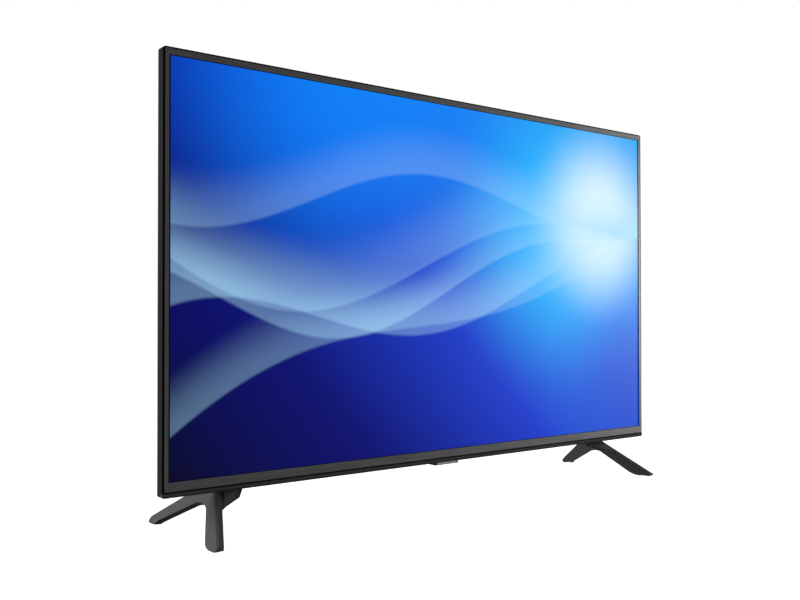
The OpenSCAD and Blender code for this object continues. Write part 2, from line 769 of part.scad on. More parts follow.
module usb_sockets() color("#9a9da0") set_frame()
    for (z = usb_z) socket_shell(z, 14, 7, 18, 1.8, 3.6);

module lan_socket() color("#85888b") set_frame() difference() {
    block(port_end - 20, port_end, board_back, board_back + 14, lan_z - 8, lan_z + 8);
    block(port_end - 14, port_end + 1, board_back + 2.5, board_back + 10.5, lan_z - 6, lan_z + 6);
    block(port_end - 14, port_end + 1, board_back + 10.4, board_back + 12.5, lan_z - 3, lan_z + 3);
}

module aerial_socket() color("#b7babd") set_frame() difference() {
    union() {
        block(port_end - 26, port_end - 10, board_back, board_back + 12, aerial_z - 6, aerial_z + 6);
        bar_x(board_back + 6, aerial_z, 5.5, port_end - 10, port_end - 6);
        bar_x(board_back + 6, aerial_z, 4.7, port_end - 6, port_end + 4);
    }
    bar_x(board_back + 6, aerial_z, 1.4, port_end - 4, port_end + 5);
}

module audio_socket() color("#222325") set_frame() difference() {
    union() {
        block(port_end - 15, port_end - 3, board_back, board_back + 10, audio_z - 5, audio_z + 5);
        bar_x(board_back + 5, audio_z, 4, port_end - 3, port_end);
    }
    bar_x(board_back + 5, audio_z, 1.8, port_end - 13, port_end + 1);
}

module power_board() color("#7a5a2a") set_frame() {
    board_blank(-board_x1, -board_x0, board_z0, power_z1);
    block(-board_x0 - 12, -board_x0 - 4, board_back, board_back + 8, board_z0 + 90, board_z0 + 116);
    block(-board_x0 - 52, -board_x0 - 28, board_back, board_back + 8, power_z1 - 12, power_z1 - 4);
    for (i = [0:2]) bar_y(-board_x0 - 34 - i * 14, board_z0 + 22, 5, board_back, board_back + 16);
    block(-board_x1 + 34, -board_x1 + 58, board_back, board_back + 18, board_z0 + 16, board_z0 + 44);
}

// Two halves of ferrite round a wound bobbin
module transformer() color("#caa53a") set_frame() {
    x0 = -board_x0 - 84;
    z0 = board_z0 + 48;
    block(x0, x0 + 34, board_back, board_back + 24, z0, z0 + 9);
    block(x0, x0 + 34, board_back, board_back + 24, z0 + 25, z0 + 34);
    block(x0 + 3, x0 + 31, board_back + 2, board_back + 22, z0 + 9, z0 + 25);
}

module filter_capacitors() color("#1c1f28") set_frame()
    for (i = [0:2]) bar_y(-board_x1 + 62 + i * 22, power_z1 - 26, 9, board_back, board_back + 22);

// Upright aluminium plates with fins along the power board
module power_heatsinks() color("#aeb2b6") set_frame()
    for (x = [-board_x0 - 34, -board_x1 + 30]) {
        block(x, x + 4, board_back, board_back + 24, board_z0 + 52, board_z0 + 92);
        for (i = [0:4])
            block(x - 6, x, board_back + 4, board_back + 24, board_z0 + 53 + i * 9, board_z0 + 55 + i * 9);
    }

// Two-pin mains inlet with a racetrack mouth
module power_inlet() color("#141415") set_frame() difference() {
    block(-port_end, -port_end + 22, board_back, board_back + inlet_d,
        inlet_z - inlet_w / 2, inlet_z + inlet_w / 2);
    block(-port_end - 1, -port_end + 13, inlet_y - inlet_cut, inlet_y + inlet_cut,
        inlet_z - pin_pitch / 2, inlet_z + pin_pitch / 2);
    for (side = [-1, 1])
        bar_x(inlet_y, inlet_z + side * pin_pitch / 2, inlet_cut, -port_end - 1, -port_end + 13);
}

module inlet_pins() color("#d6c48a") set_frame()
    for (side = [-1, 1]) bar_x(inlet_y, inlet_z + side * pin_pitch / 2, pin_r, -port_end + 3, -port_end + 13);

module tcon_board() color("#14532d") set_frame() {
    board_blank(-tcon_w / 2, tcon_w / 2, tcon_z0, tcon_z1);
    block(-14, 14, board_back, board_back + 1.6, tcon_z0 + 12, tcon_z0 + 34);
    block(tcon_w / 2 - 10, tcon_w / 2 - 2, board_back, board_back + 4, tcon_z0 + 6, tcon_z0 + 26);
    for (x = [-1, 1])
        translate([x * (source_gap + 18), 0, 0]) block(-12, 12, board_y - 2.5, board_y, tcon_z0, tcon_z0 + 6);
}

// Flat ribbons from the timing board down and under the tray to the source boards
module tcon_ribbons() color("#d9dadb") set_frame()
    for (x = [-1, 1]) translate([x * (source_gap + 18), 0, 0]) along_x(20) {
        top = board_y - 2;
        down = tray_back + 1;
        low = source_z0 + 4;
        end = frame_y + source_t + 2;
        polygon([
            [top, tcon_z0], [top, tcon_z0 - 4], [down, tcon_z0 - 10],
            [down, low + 6], [down - 4, low], [end, low],
            [end, low + 0.6], [down - 4.3, low + 0.6], [down - 0.6, low + 6.3], [down - 0.6, tcon_z0 - 9.4],
            [top - 0.6, tcon_z0 - 3.6], [top - 0.6, tcon_z0]]);
    }

// Flat ribbon from the timing board to the main board
module panel_ribbon() color("#d9dadb") set_frame()
    block(tcon_w / 2 - 2, board_x0 + ribbon_in, board_back + ribbon_lift, board_back + ribbon_lift + 0.6,
        tcon_z0 + 7, tcon_z0 + 25);

module board_screws() color("#c9ccce") set_frame()
    for (p = board_holes) screw_y(p[0], p[1], board_back, tray_back + 2.5);

// Speaker box with thin walls and a round mouth in its underside
module speaker_box(side) set_frame() difference() {
    x = side * speaker_x;
    block(x - speaker_w / 2, x + speaker_w / 2, speaker_y, speaker_y + speaker_d,
        speaker_z, speaker_z + speaker_h);
    block(x - speaker_w / 2 + 2, x + speaker_w / 2 - 2, speaker_y + 2, speaker_y + speaker_d - 2,
        speaker_z + 2, speaker_z + speaker_h - 2);
    translate([x, speaker_y + speaker_d / 2, speaker_z - 1]) cylinder(r = driver_r + fit, h = 4);
}

module speaker_box_left() color("#232325") speaker_box(-1);

module speaker_box_right() color("#232325") speaker_box(1);

// Loudspeaker: a square plate under the box, a basket through its mouth and a magnet above
module speaker_driver(side) set_frame() translate([side * speaker_x, speaker_y + speaker_d / 2, speaker_z]) {
    difference() {
        translate([-13, -13, -2]) cube([26, 26, 2]);
        translate([0, 0, -3]) cylinder(r = driver_r - 1, h = 2);
    }
    cylinder(r1 = driver_r, r2 = 8, h = 8);
    translate([0, 0, 8]) cylinder(r = 9, h = 8);
}

module speaker_driver_left() color("#3b3b3d") speaker_driver(-1);

module speaker_driver_right() color("#3b3b3d") speaker_driver(1);

module speaker_grommets() color("#101011") set_frame()
    for (side = [-1, 1])
        for (end = [-1, 1])
            translate([side * speaker_x + end * (speaker_w / 2 - 12), 0, speaker_z + speaker_h / 2])
                bar_y(0, 0, 5, tray_back, speaker_y);

module sensor_housing() color("#2b2b2d") set_frame() {
    difference() {
        block(-sensor_w / 2, sensor_w / 2, sensor_y0, sensor_y0 + sensor_d, -sensor_h, 0);
        block(-sensor_w / 2 + sensor_wall, sensor_w / 2 - sensor_wall, sensor_y0 + sensor_wall,
            sensor_y0 + sensor_d - sensor_wall, sensor_floor_z, 1);
        block(-sensor_w / 2 + 3, sensor_w / 2 - 3, sensor_y0 - 1, sensor_y0 + 2, -sensor_h + 0.6, -0.6);
        translate([0, key_y, -sensor_h - 1]) cylinder(r = key_r + fit, h = sensor_h);
    }
    for (x = [-13, 13])
        translate([x, key_y, sensor_floor_z]) cylinder(r = 1.8, h = sensor_board_z - sensor_floor_z);
}

module sensor_lens() color("#8a8c90") set_frame()
    block(-sensor_w / 2 + 3.1, sensor_w / 2 - 3.1, sensor_y0 - 0.1, sensor_y0 + sensor_wall,
        -sensor_h + 0.7, -0.7);

// Small board over the power key, with the switch that the key presses
module sensor_board() color("#14532d") set_frame() {
    block(-16.5, 16.5, key_y - 5, key_y + 5, sensor_board_z, sensor_board_z + 1);
    block(-3, 3, key_y - 3, key_y + 3, switch_z, sensor_board_z);
}

module power_button() color("#3c3c3e") set_frame() translate([0, key_y, 0]) {
    translate([0, 0, -sensor_h - key_out]) cylinder(r = key_r, h = key_out + sensor_wall + key_gap);
    translate([0, 0, sensor_floor_z + key_gap]) cylinder(r = key_r + 1.2, h = key_flange_t);
    stem_z = sensor_floor_z + key_gap + key_flange_t;
    translate([0, 0, stem_z]) cylinder(r = 1.4, h = switch_z - key_travel - key_gap - stem_z);
}

// Half space beyond a plane, as a big cube
module beyond(point, normal) translate(point) rotate(acos(normal.z), cross([0, 0, 1], normal))
    translate([-200, -200, 0]) cube(400);

// Side outline of a foot: an upside-down V with flat soles
module foot_side() polygon(rounded([
    [front_edge_y, 0, 0], [-foot_front, sole_z + tip_h, tip_r], [-foot_front + tip_h / 2, sole_z, tip_r / 3],
    [-foot_front + sole_front, sole_z, heel_r], [arch_y, arch_z, arch_r],
    [foot_back - sole_rear, sole_z, 3], [foot_back - tip_rear / 2, sole_z, 2],
    [foot_back, sole_z + tip_rear, 4], [foot_back / 2, -0.16 * leg_h, 60], [back_y, 0, 0]]));

// Right foot, leaning outward, thinner at the front leg's leading edge and flared to a gusset at its top.
// A plate in front of the gusset carries the fixing screws.
module foot() {
    lean_x = foot_lean * leg_h;
    front_edge = [lean_x, -foot_front - front_edge_y, -leg_h];
    outer_normal = unit([1, 0, foot_lean]);
    front_normal = unit([0, -leg_h, foot_front + front_edge_y]);
    bevel_normal = unit(outer_normal + front_normal);
    wedge_normal = unit(cross([foot_edge_t - foot_t, sole_front, 0], front_edge));
    difference() {
        union() {
            difference() {
                intersection() {
                    along_x(4 * foot_x) foot_side();
                    along_y(-foot_front, foot_back) polygon([
                        [foot_x - foot_root_t, 0], [foot_x, 0], [foot_x + lean_x, -leg_h],
                        [foot_x + lean_x - foot_t, -leg_h]]);
                }
                beyond([foot_x - foot_edge_t, front_edge_y, 0], wedge_normal * (wedge_normal.x < 0 ? 1 : -1));
            }
            intersection() {
                along_x(4 * foot_x) foot_side();
                along_y(-foot_front, back_y) polygon(rounded([
                    [foot_x - gusset_w, 0, 0], [foot_x, 0, 0],
                    [foot_x + foot_lean * gusset_low, -gusset_low, 0],
                    [foot_x + foot_lean * gusset_low - foot_edge_t + gusset_tuck, -gusset_low, 0],
                    [foot_x + foot_lean * gusset_h - foot_edge_t, -gusset_h, gusset_r],
                    [foot_x - gusset_w, -gusset_end_h, gusset_end_r]]));
            }
            along_z(-plate_h, 0) polygon([
                [plate_x0 + plate_cut, plate_y0], [plate_x1 - plate_cut, plate_y0],
                [plate_x1, plate_y0 + plate_cut], [plate_x1, plate_y1], [plate_x0, plate_y1],
                [plate_x0, plate_y0 + plate_cut]]);
        }
        beyond([foot_x, front_edge_y, 0] - leading_cut * bevel_normal, bevel_normal);
        for (p = foot_screws_at) translate([p.x, p.y, -leg_h]) {
            cylinder(r = foot_screw_r + 0.3, h = leg_h + 1);
            cylinder(r = 2 * foot_screw_r + 0.4, h = leg_h + foot_seat_z);
        }
        for (p = pad_places) translate([p[0], p[1], sole_z - 1]) linear_extrude(pad_t - pad_show + 1)
            square([p[2] + 0.4, p[3] + 0.4], center = true);
    }
}

// Middle, width and length of the pads under the right foot
sole_x = foot_x + foot_lean * leg_h;
pad_places = [
    [sole_x - 7, -foot_front + sole_front / 2 + 2, 6, sole_front - 14],
    [sole_x - foot_t / 2, foot_back - sole_rear / 2 - tip_rear / 4, foot_t - 10, sole_rear - 7]];

module foot_left() color("#4b4b4d") set_frame() mirror([1, 0, 0]) foot();

module foot_right() color("#4b4b4d") set_frame() foot();

module foot_pads() color("#151515") set_frame()
    for (side = [-1, 1])
        for (p = pad_places) translate([side * p[0], p[1], -leg_h]) linear_extrude(pad_t)
            square([p[2], p[3]], center = true);

// Steel angle inside the set that takes a foot's screws, held against the back of the tray
module foot_bracket(side) set_frame() translate([side * bracket_x, 0, 0]) difference() {
    heel = cover_turn_r - wall;
    along_x(bracket_w) polygon([
        [frame_y + 2, wall], [bracket_y - heel, wall], [bracket_y, wall + heel],
        [bracket_y, wall + bracket_h], [tray_back, wall + bracket_h],
        [tray_back, wall + bracket_t], [frame_y + 2, wall + bracket_t]]);
    for (p = foot_screws_at)
        translate([side * (p.x - bracket_x), p.y, 0]) cylinder(r = foot_screw_r + 0.1, h = 20);
}

module foot_bracket_left() color("#9a9da0") foot_bracket(-1);

module foot_bracket_right() color("#9a9da0") foot_bracket(1);

module foot_screws() color("#3a3a3c") set_frame()
    for (side = [-1, 1])
        for (p = foot_screws_at) translate([side * p.x, p.y, foot_seat_z]) {
            translate([0, 0, -foot_head_h]) cylinder(r = 2 * foot_screw_r, h = foot_head_h);
            cylinder(r = foot_screw_r, h = wall + bracket_t - foot_seat_z);
        }

// Bundle of wires from the power board to the main board
module power_lead() color("#b03030") set_frame() lead([
    [-board_x0 - 8, board_back + 8, board_z0 + 104], [-board_x0 - 8, board_back + 14, board_z0 + 104],
    [board_x0 + 9, board_back + 14, main_z1 - 30], [board_x0 + 9, board_back + 8, main_z1 - 30]], 2.5);

// Pair of wires from the power board through the tray to the LED strips
module backlight_lead() color("#d8d8d8") set_frame() lead([
    [-board_x0 - 40, board_back + 4, power_z1 - 4], [-board_x0 - 40, board_back + 4, pic_zc],
    [-board_x0 - 40, floor_y, pic_zc]], 1.8);

// Wires from the main board to the two speaker boxes
module speaker_leads() color("#303034") set_frame() {
    y = board_back + 3;
    x = speaker_x - speaker_w / 2;
    z = speaker_z + speaker_h - 8;
    over = (board_z0 + speaker_z + speaker_h) / 2;
    lead([[board_x0 + 52, y, board_z0], [board_x0 + 52, y, speaker_z + speaker_h]], 1.2);
    lead([
        [board_x0 + 44, y + 0.6, board_z0], [board_x0 + 44, y + 0.6, over],
        [x - 7, y + 0.6, over], [x - 18, y + 0.6, z], [-x, y + 0.6, z]], 1.2);
}

// Flat lead from the sensor board up behind the tray to the main board
module sensor_lead() color("#303034") set_frame() {
    y = tray_back + 0.6;
    z = sensor_board_z + 1;
    top = tcon_z1 + 6;
    translate([10, 0, 0]) along_x(6) polygon([
        [key_y, z], [key_y + 3, z], [y + 1, z + 9], [y + 1, top + 6],
        [y, top + 6], [y, z + 10], [key_y, z + 1]]);
    block(7, board_x0 + 20, y, y + 1, top, top + 6);
    block(board_x0 + 19, board_x0 + 20, y, board_y, top, top + 6);
}

front_bezel();
bottom_trim();
middle_frame();
lcd_panel();
driver_films();
source_board_left();
source_board_right();
prism_film();
diffuser_film();
diffuser_plate();
reflector_sheet();
led_strip_top();
led_strip_middle();
led_strip_bottom();
led_lenses();
plate_supports();
back_plate();
wall_mount_posts();
rear_cover();
electronics_cover();
rear_cover_screws();
electronics_cover_screws();
mainboard();
processor_heatsink();
hdmi_sockets();
usb_sockets();
lan_socket();
aerial_socket();
audio_socket();
power_board();
transformer();
filter_capacitors();
power_heatsinks();
power_inlet();
inlet_pins();
tcon_board();
tcon_ribbons();
panel_ribbon();
board_screws();
speaker_box_left();
speaker_box_right();
speaker_driver_left();
speaker_driver_right();
speaker_grommets();
sensor_housing();
sensor_lens();
sensor_board();
power_button();
foot_left();
foot_right();
foot_pads();
foot_bracket_left();
foot_bracket_right();
foot_screws();
power_lead();
backlight_lead();
speaker_leads();
sensor_lead();
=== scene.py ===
# %% [markdown]
# The imported model of the television comes first. Every piece of it is already in place, in metres, with
# the floor at Z = 0 and the screen facing -Y. It is loaded as a fixed frame, and the looks are built
# around it.

# %% Load the television
from math import pi, radians

import bmesh
import bpy
from mathutils import Matrix, Vector


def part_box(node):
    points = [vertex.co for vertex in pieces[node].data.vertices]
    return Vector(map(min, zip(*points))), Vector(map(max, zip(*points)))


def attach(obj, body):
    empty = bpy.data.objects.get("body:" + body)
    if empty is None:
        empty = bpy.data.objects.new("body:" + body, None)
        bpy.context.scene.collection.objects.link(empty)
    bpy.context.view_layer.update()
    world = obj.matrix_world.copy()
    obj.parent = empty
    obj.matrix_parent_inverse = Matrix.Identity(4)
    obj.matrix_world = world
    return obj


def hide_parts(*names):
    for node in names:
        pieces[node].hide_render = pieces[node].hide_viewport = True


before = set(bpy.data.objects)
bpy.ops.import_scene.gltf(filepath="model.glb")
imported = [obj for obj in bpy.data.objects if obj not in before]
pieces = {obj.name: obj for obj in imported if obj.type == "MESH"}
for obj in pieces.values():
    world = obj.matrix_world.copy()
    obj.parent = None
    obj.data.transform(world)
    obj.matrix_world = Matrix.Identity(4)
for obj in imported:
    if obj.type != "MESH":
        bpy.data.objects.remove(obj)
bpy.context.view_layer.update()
bpy.ops.object.select_all(action="DESELECT")

# %% [markdown]
# This product photograph was taken with a normal lens of about 40 mm from the front left, a little
# below the middle of the screen. The lens and the place of the camera come from the corners of the bezel
# and of the picture, so the camera is placed from the middle of the screen, at the bezel's face. The
# frame was cropped to one side, and the lens shift gives that crop without turning the camera.

# %% Camera
SENSOR_MM = 36.0
PHOTO_WIDTH_PX = 800
FOCAL_PX = 885.03
CROP_PX = 60
CAMERA_FROM_SCREEN = Vector((-0.9359, -1.0113, -0.0554))
CAMERA_TILT, CAMERA_TURN = radians(90.816), radians(-35.634)
bezel_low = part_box("front_bezel")[0]
panel_low, panel_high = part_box("lcd_panel")
screen_middle = Vector((0, bezel_low.y, (panel_low.z + panel_high.z) / 2))
bpy.ops.object.camera_add(
    location=screen_middle + CAMERA_FROM_SCREEN, rotation=(CAMERA_TILT, 0, CAMERA_TURN))
camera = bpy.context.object
camera.name = "camera"
camera.data.sensor_width = SENSOR_MM
camera.data.lens = FOCAL_PX * SENSOR_MM / PHOTO_WIDTH_PX
camera.data.shift_x = CROP_PX / PHOTO_WIDTH_PX
camera.data.dof.use_dof = False
bpy.context.scene.camera = camera
bpy.context.scene.view_settings.view_transform = "Standard"
print("lens:", round(camera.data.lens, 2), "mm, shift:", camera.data.shift_x)

# %% [markdown]
# Every finish below is a small tree of nodes. One function adds a node, with its settings and with its
# sockets set or linked. Where a socket is given a node, the first output that is in use feeds it. Another
# function turns the hex colours that a designer reads on the screen to the linear values that Blender
# mixes.

# %% Helpers for finishes
def colour(hex_code):
    parts = [int(hex_code[i:i + 2], 16) / 255 for i in (1, 3, 5)]
    return [p / 12.92 if p <= 0.04045 else ((p + 0.055) / 1.055) ** 2.4 for p in parts] + [1.0]


def plug(tree, node, sockets):
    for name, value in sockets.items():
        if isinstance(value, bpy.types.Node):
            value = next(output for output in value.outputs if output.enabled)
        if isinstance(value, bpy.types.NodeSocket):
            tree.links.new(value, node.inputs[name])
        else:
            node.inputs[name].default_value = value


def add(tree, kind, settings={}, sockets={}):
    node = tree.nodes.new(kind)
    for name, value in settings.items():
        setattr(node, name, value)
    plug(tree, node, sockets)
    return node


def begin_finish(name):
    finish = bpy.data.materials.new(name)
    finish.use_nodes = True
    tree = finish.node_tree
    place = add(tree, "ShaderNodeTexCoord").outputs["Object"]
    return finish, tree, tree.nodes["Principled BSDF"], place


def dress(finish, *names):
    for name in names:
        slots = pieces[name].data.materials
        slots.clear()
        slots.append(finish)


print("middle grey in linear light:", round(colour("#808080")[0], 3))

# %% [markdown]
# The set stands on a white sweep under soft studio light. The brightest faces of the feet look left and
# the front stays dark, so the main soft box is at the left and a little behind. A second one at the far
# right shows only in the brushed bezel, whose right end is brighter than its left end. The sky and the
# floor are white to the eye and in reflections, while they throw much less light on the set.

# %% Sky
SKY_LIGHT = 0.12  # what the sky throws on the set
SKY_SEEN = 1.0    # what the eye and reflections see of it, which is white


def seen_by_eye(tree):
    ray = add(tree, "ShaderNodeLightPath").outputs
    seen = ray["Is Camera Ray"]
    for kind in ("Is Glossy Ray", "Is Transmission Ray"):
        seen = add(tree, "ShaderNodeMath", {"operation": "MAXIMUM"}, {0: seen, 1: ray[kind]})
    return seen


world = bpy.data.worlds.new("white_studio")
bpy.context.scene.world = world
world.use_nodes = True
sky = world.node_tree
sky.nodes.clear()
dim = add(sky, "ShaderNodeBackground", {}, {"Color": colour("#ffffff"), "Strength": SKY_LIGHT})
white = add(sky, "ShaderNodeBackground", {}, {"Color": colour("#ffffff"), "Strength": SKY_SEEN})
either = add(sky, "ShaderNodeMixShader", {}, {0: seen_by_eye(sky), 1: dim, 2: white})
add(sky, "ShaderNodeOutputWorld", {}, {"Surface": either})
print("sky nodes:", len(sky.nodes))

# %% Floor
FLOOR_SIZE = 30
PAPER_GLOW = 0.93
bpy.ops.mesh.primitive_plane_add(size=FLOOR_SIZE)
floor = bpy.context.object
floor.name = "studio_floor"
paper = bpy.data.materials.new("white_paper_sweep")
paper.use_nodes = True
tree = paper.node_tree
tree.nodes.clear()
shaded = add(tree, "ShaderNodeBsdfDiffuse", {}, {"Color": colour("#606060")})
pale = add(tree, "ShaderNodeBsdfDiffuse", {}, {"Color": colour("#e7e7e7")})
glow = add(tree, "ShaderNodeEmission", {}, {"Color": colour("#ffffff"), "Strength": PAPER_GLOW})
lit = add(tree, "ShaderNodeAddShader", {}, {0: pale, 1: glow})
either = add(tree, "ShaderNodeMixShader", {}, {0: seen_by_eye(tree), 1: shaded, 2: lit})
add(tree, "ShaderNodeOutputMaterial", {}, {"Surface": either})
floor.data.materials.append(paper)
bpy.ops.object.select_all(action="DESELECT")
print("floor:", [round(side, 2) for side in floor.dimensions])

# %% Lamps
def soft_box(name, direction, distance, width, height, watts):
    arrow = Vector(direction).normalized()
    bpy.ops.object.light_add(type="AREA", location=screen_middle + distance * arrow)
    lamp = bpy.context.object
    lamp.name = name
    lamp.data.shape = "RECTANGLE"
    lamp.data.size = width
    lamp.data.size_y = height
    lamp.data.energy = watts
    lamp.rotation_euler = (-arrow).to_track_quat("-Z", "Y").to_euler()
    lamp.select_set(False)


soft_box("left_soft_box", direction=(-1.0, 0.45, 0.12), distance=2.4, width=1.2, height=1.6, watts=64)
soft_box("right_soft_box", direction=(0.95, -0.31, -0.02), distance=2.8, width=1.3, height=1.3, watts=105)

# %% [markdown]
# The bezel is a black moulding with a brushed, dark anodised facing on its front. Its edges and walls are
# drawn near black and without any shine, which also paints in the shade of the groove round the facing and
# of the inner walls beside the picture. Brushing leaves fine streaks along each bar, so the streaks run
# level above and below the picture and upright beside it, and they meet in a mitre at the corners. A noise
# that is stretched along the bar gives the streaks, and the mitre is the line where a point is as far
# outside the picture's side as it is above or below it.

# %% Mitre of the bezel
PANEL_EDGE = 0.0044  # the glass goes on this far behind the bezel, all round the picture
picture_half_w = (panel_high.x - panel_low.x) / 2 - PANEL_EDGE
picture_half_h = (panel_high.z - panel_low.z) / 2 - PANEL_EDGE
brushed, tree, shader, place = begin_finish("brushed_dark_anodised_facing")
split = add(tree, "ShaderNodeSeparateXYZ", {}, {0: place})
across = add(tree, "ShaderNodeMath", {"operation": "ABSOLUTE"}, {0: split.outputs["X"]})
out_side = add(tree, "ShaderNodeMath", {"operation": "SUBTRACT"}, {0: across, 1: picture_half_w})
height = add(tree, "ShaderNodeMath", {"operation": "SUBTRACT"}, {0: split.outputs["Z"], 1: screen_middle.z})
height = add(tree, "ShaderNodeMath", {"operation": "ABSOLUTE"}, {0: height})
out_top = add(tree, "ShaderNodeMath", {"operation": "SUBTRACT"}, {0: height, 1: picture_half_h})
on_side_bar = add(tree, "ShaderNodeMath", {"operation": "GREATER_THAN"}, {0: out_side, 1: out_top})
print("picture:", round(2 * picture_half_w, 4), "by", round(2 * picture_half_h, 4), "m")

# %% Streaks of the brush
STREAK_MM = 0.9  # real streaks are about 0.1 mm, drawn coarser so that they show
STREAK_LENGTH_MM = 60.0
fine, long = 1000 / STREAK_MM, 1000 / STREAK_LENGTH_MM
level = add(tree, "ShaderNodeMapping", {}, {"Vector": place, "Scale": (long, fine, fine)})
level = add(tree, "ShaderNodeTexNoise", {}, {"Vector": level, "Scale": 1.0, "Detail": 3.0})
upright = add(tree, "ShaderNodeMapping", {}, {"Vector": place, "Scale": (fine, fine, long)})
upright = add(tree, "ShaderNodeTexNoise", {}, {"Vector": upright, "Scale": 1.0, "Detail": 3.0})
streak = add(tree, "ShaderNodeMix", {"data_type": "FLOAT"},
             {"Factor": on_side_bar, "A": level, "B": upright})
print("streaks per metre:", round(fine), "across and", round(long), "along")

# %% Brushed facing
HAIR = 0.0001
GRAIN_DEPTH = 0.0002
NOISE_LOW, NOISE_HIGH = 0.3, 0.7  # most of a noise lies between these
facing = add(tree, "ShaderNodeMath", {"operation": "LESS_THAN"},
             {0: split.outputs["Y"], 1: bezel_low.y + HAIR})
metal = add(tree, "ShaderNodeMapRange", {}, {"Value": streak, "From Min": NOISE_LOW, "From Max": NOISE_HIGH})
metal = add(tree, "ShaderNodeMix", {"data_type": "RGBA"},
            {"Factor": metal, "A": colour("#303030"), "B": colour("#3e3e3e")})
# Painted shade: off the facing, the black moulding is drawn near black #050505, and with no shine below it
# stands in for the shade of the groove and of the inner walls
tone = add(tree, "ShaderNodeMix", {"data_type": "RGBA"},
           {"Factor": facing, "A": colour("#050505"), "B": metal})
rough = add(tree, "ShaderNodeMapRange", {},
            {"Value": streak, "From Min": NOISE_LOW, "From Max": NOISE_HIGH, "To Min": 0.39, "To Max": 0.51})
bump = add(tree, "ShaderNodeBump", {}, {"Height": streak, "Strength": 0.12, "Distance": GRAIN_DEPTH})
plug(tree, shader, {"Base Color": tone, "Metallic": facing, "Roughness": rough, "Normal": bump,
                    "Specular IOR Level": 0.0})
dress(brushed, "front_bezel")
print("bezel nodes:", len(tree.nodes))

# %% [markdown]
# The panel is switched on. Its surface is a matt polariser, dark by itself, and the picture shines
# through it. The picture is a plain wallpaper of the kind that a shop shows: blue light that grows
# towards a pale glow, with a fan of soft silk bands. Each band is a sine line across the picture with a
# crisp lower edge and a veil that fades upward. All of it is worked out from two coordinates, u from the
# left edge and v from the lower edge, so no image file is needed. Outside the picture, the glass has a
# black border.

# %% Picture coordinates
screen, tree, shader, place = begin_finish("matt_polariser_over_lit_picture")
split = add(tree, "ShaderNodeSeparateXYZ", {}, {0: place})
u = add(tree, "ShaderNodeMapRange", {"clamp": False},
        {"Value": split.outputs["X"], "From Min": -picture_half_w, "From Max": picture_half_w})
v = add(tree, "ShaderNodeMapRange", {"clamp": False},
        {"Value": split.outputs["Z"], "From Min": screen_middle.z - picture_half_h,
         "From Max": screen_middle.z + picture_half_h})
print("coordinates:", u.name, "and", v.name)

# %% Blue light behind the bands
SLANT_U, SLANT_V = 0.62, 0.35
MIDDLE_TONES = ((0.22, "#000670"), (0.45, "#0034c8"), (0.66, "#0078f0"))
slant = add(tree, "ShaderNodeMath", {"operation": "MULTIPLY"}, {0: v, 1: SLANT_V})
slant = add(tree, "ShaderNodeMath", {"operation": "MULTIPLY_ADD"}, {0: u, 1: SLANT_U, 2: slant})
picture = add(tree, "ShaderNodeValToRGB", {}, {"Fac": slant})
stops = picture.color_ramp.elements
stops[0].color = colour("#000024")
stops[1].color = colour("#1fa9f5")
for position, hex_code in MIDDLE_TONES:
    stops.new(position).color = colour(hex_code)
print("tones of the blue light:", len(stops))

# %% Glows
PICTURE_SHAPE = 16 / 9
GLOWS = (  # place in u and v, reach, colour, strength
    (0.30, 1.02, 0.75, "#0088ff", 0.75), (0.78, 0.66, 0.62, "#00c0ff", 0.85),
    (0.99, 0.08, 0.55, "#0038c8", 0.80), (0.88, 0.70, 0.40, "#e8fbff", 0.90))
for glow_u, glow_v, reach, hex_code, strength in GLOWS:
    wide = add(tree, "ShaderNodeMath", {"operation": "SUBTRACT"}, {0: u, 1: glow_u})
    wide = add(tree, "ShaderNodeMath", {"operation": "MULTIPLY"}, {0: wide, 1: PICTURE_SHAPE})
    tall = add(tree, "ShaderNodeMath", {"operation": "SUBTRACT"}, {0: v, 1: glow_v})
    arrow = add(tree, "ShaderNodeCombineXYZ", {}, {"X": wide, "Y": tall})
    far = add(tree, "ShaderNodeVectorMath", {"operation": "LENGTH"}, {0: arrow})
    shine = add(tree, "ShaderNodeMapRange", {"interpolation_type": "SMOOTHERSTEP"},
                {"Value": far, "From Min": 0.0, "From Max": reach, "To Min": 1.0, "To Max": 0.0})
    shine = add(tree, "ShaderNodeMath", {"operation": "MULTIPLY"}, {0: shine, 1: strength})
    picture = add(tree, "ShaderNodeMix", {"data_type": "RGBA"},
                  {"Factor": shine, "A": picture, "B": colour(hex_code)})
print("glows:", len(GLOWS))

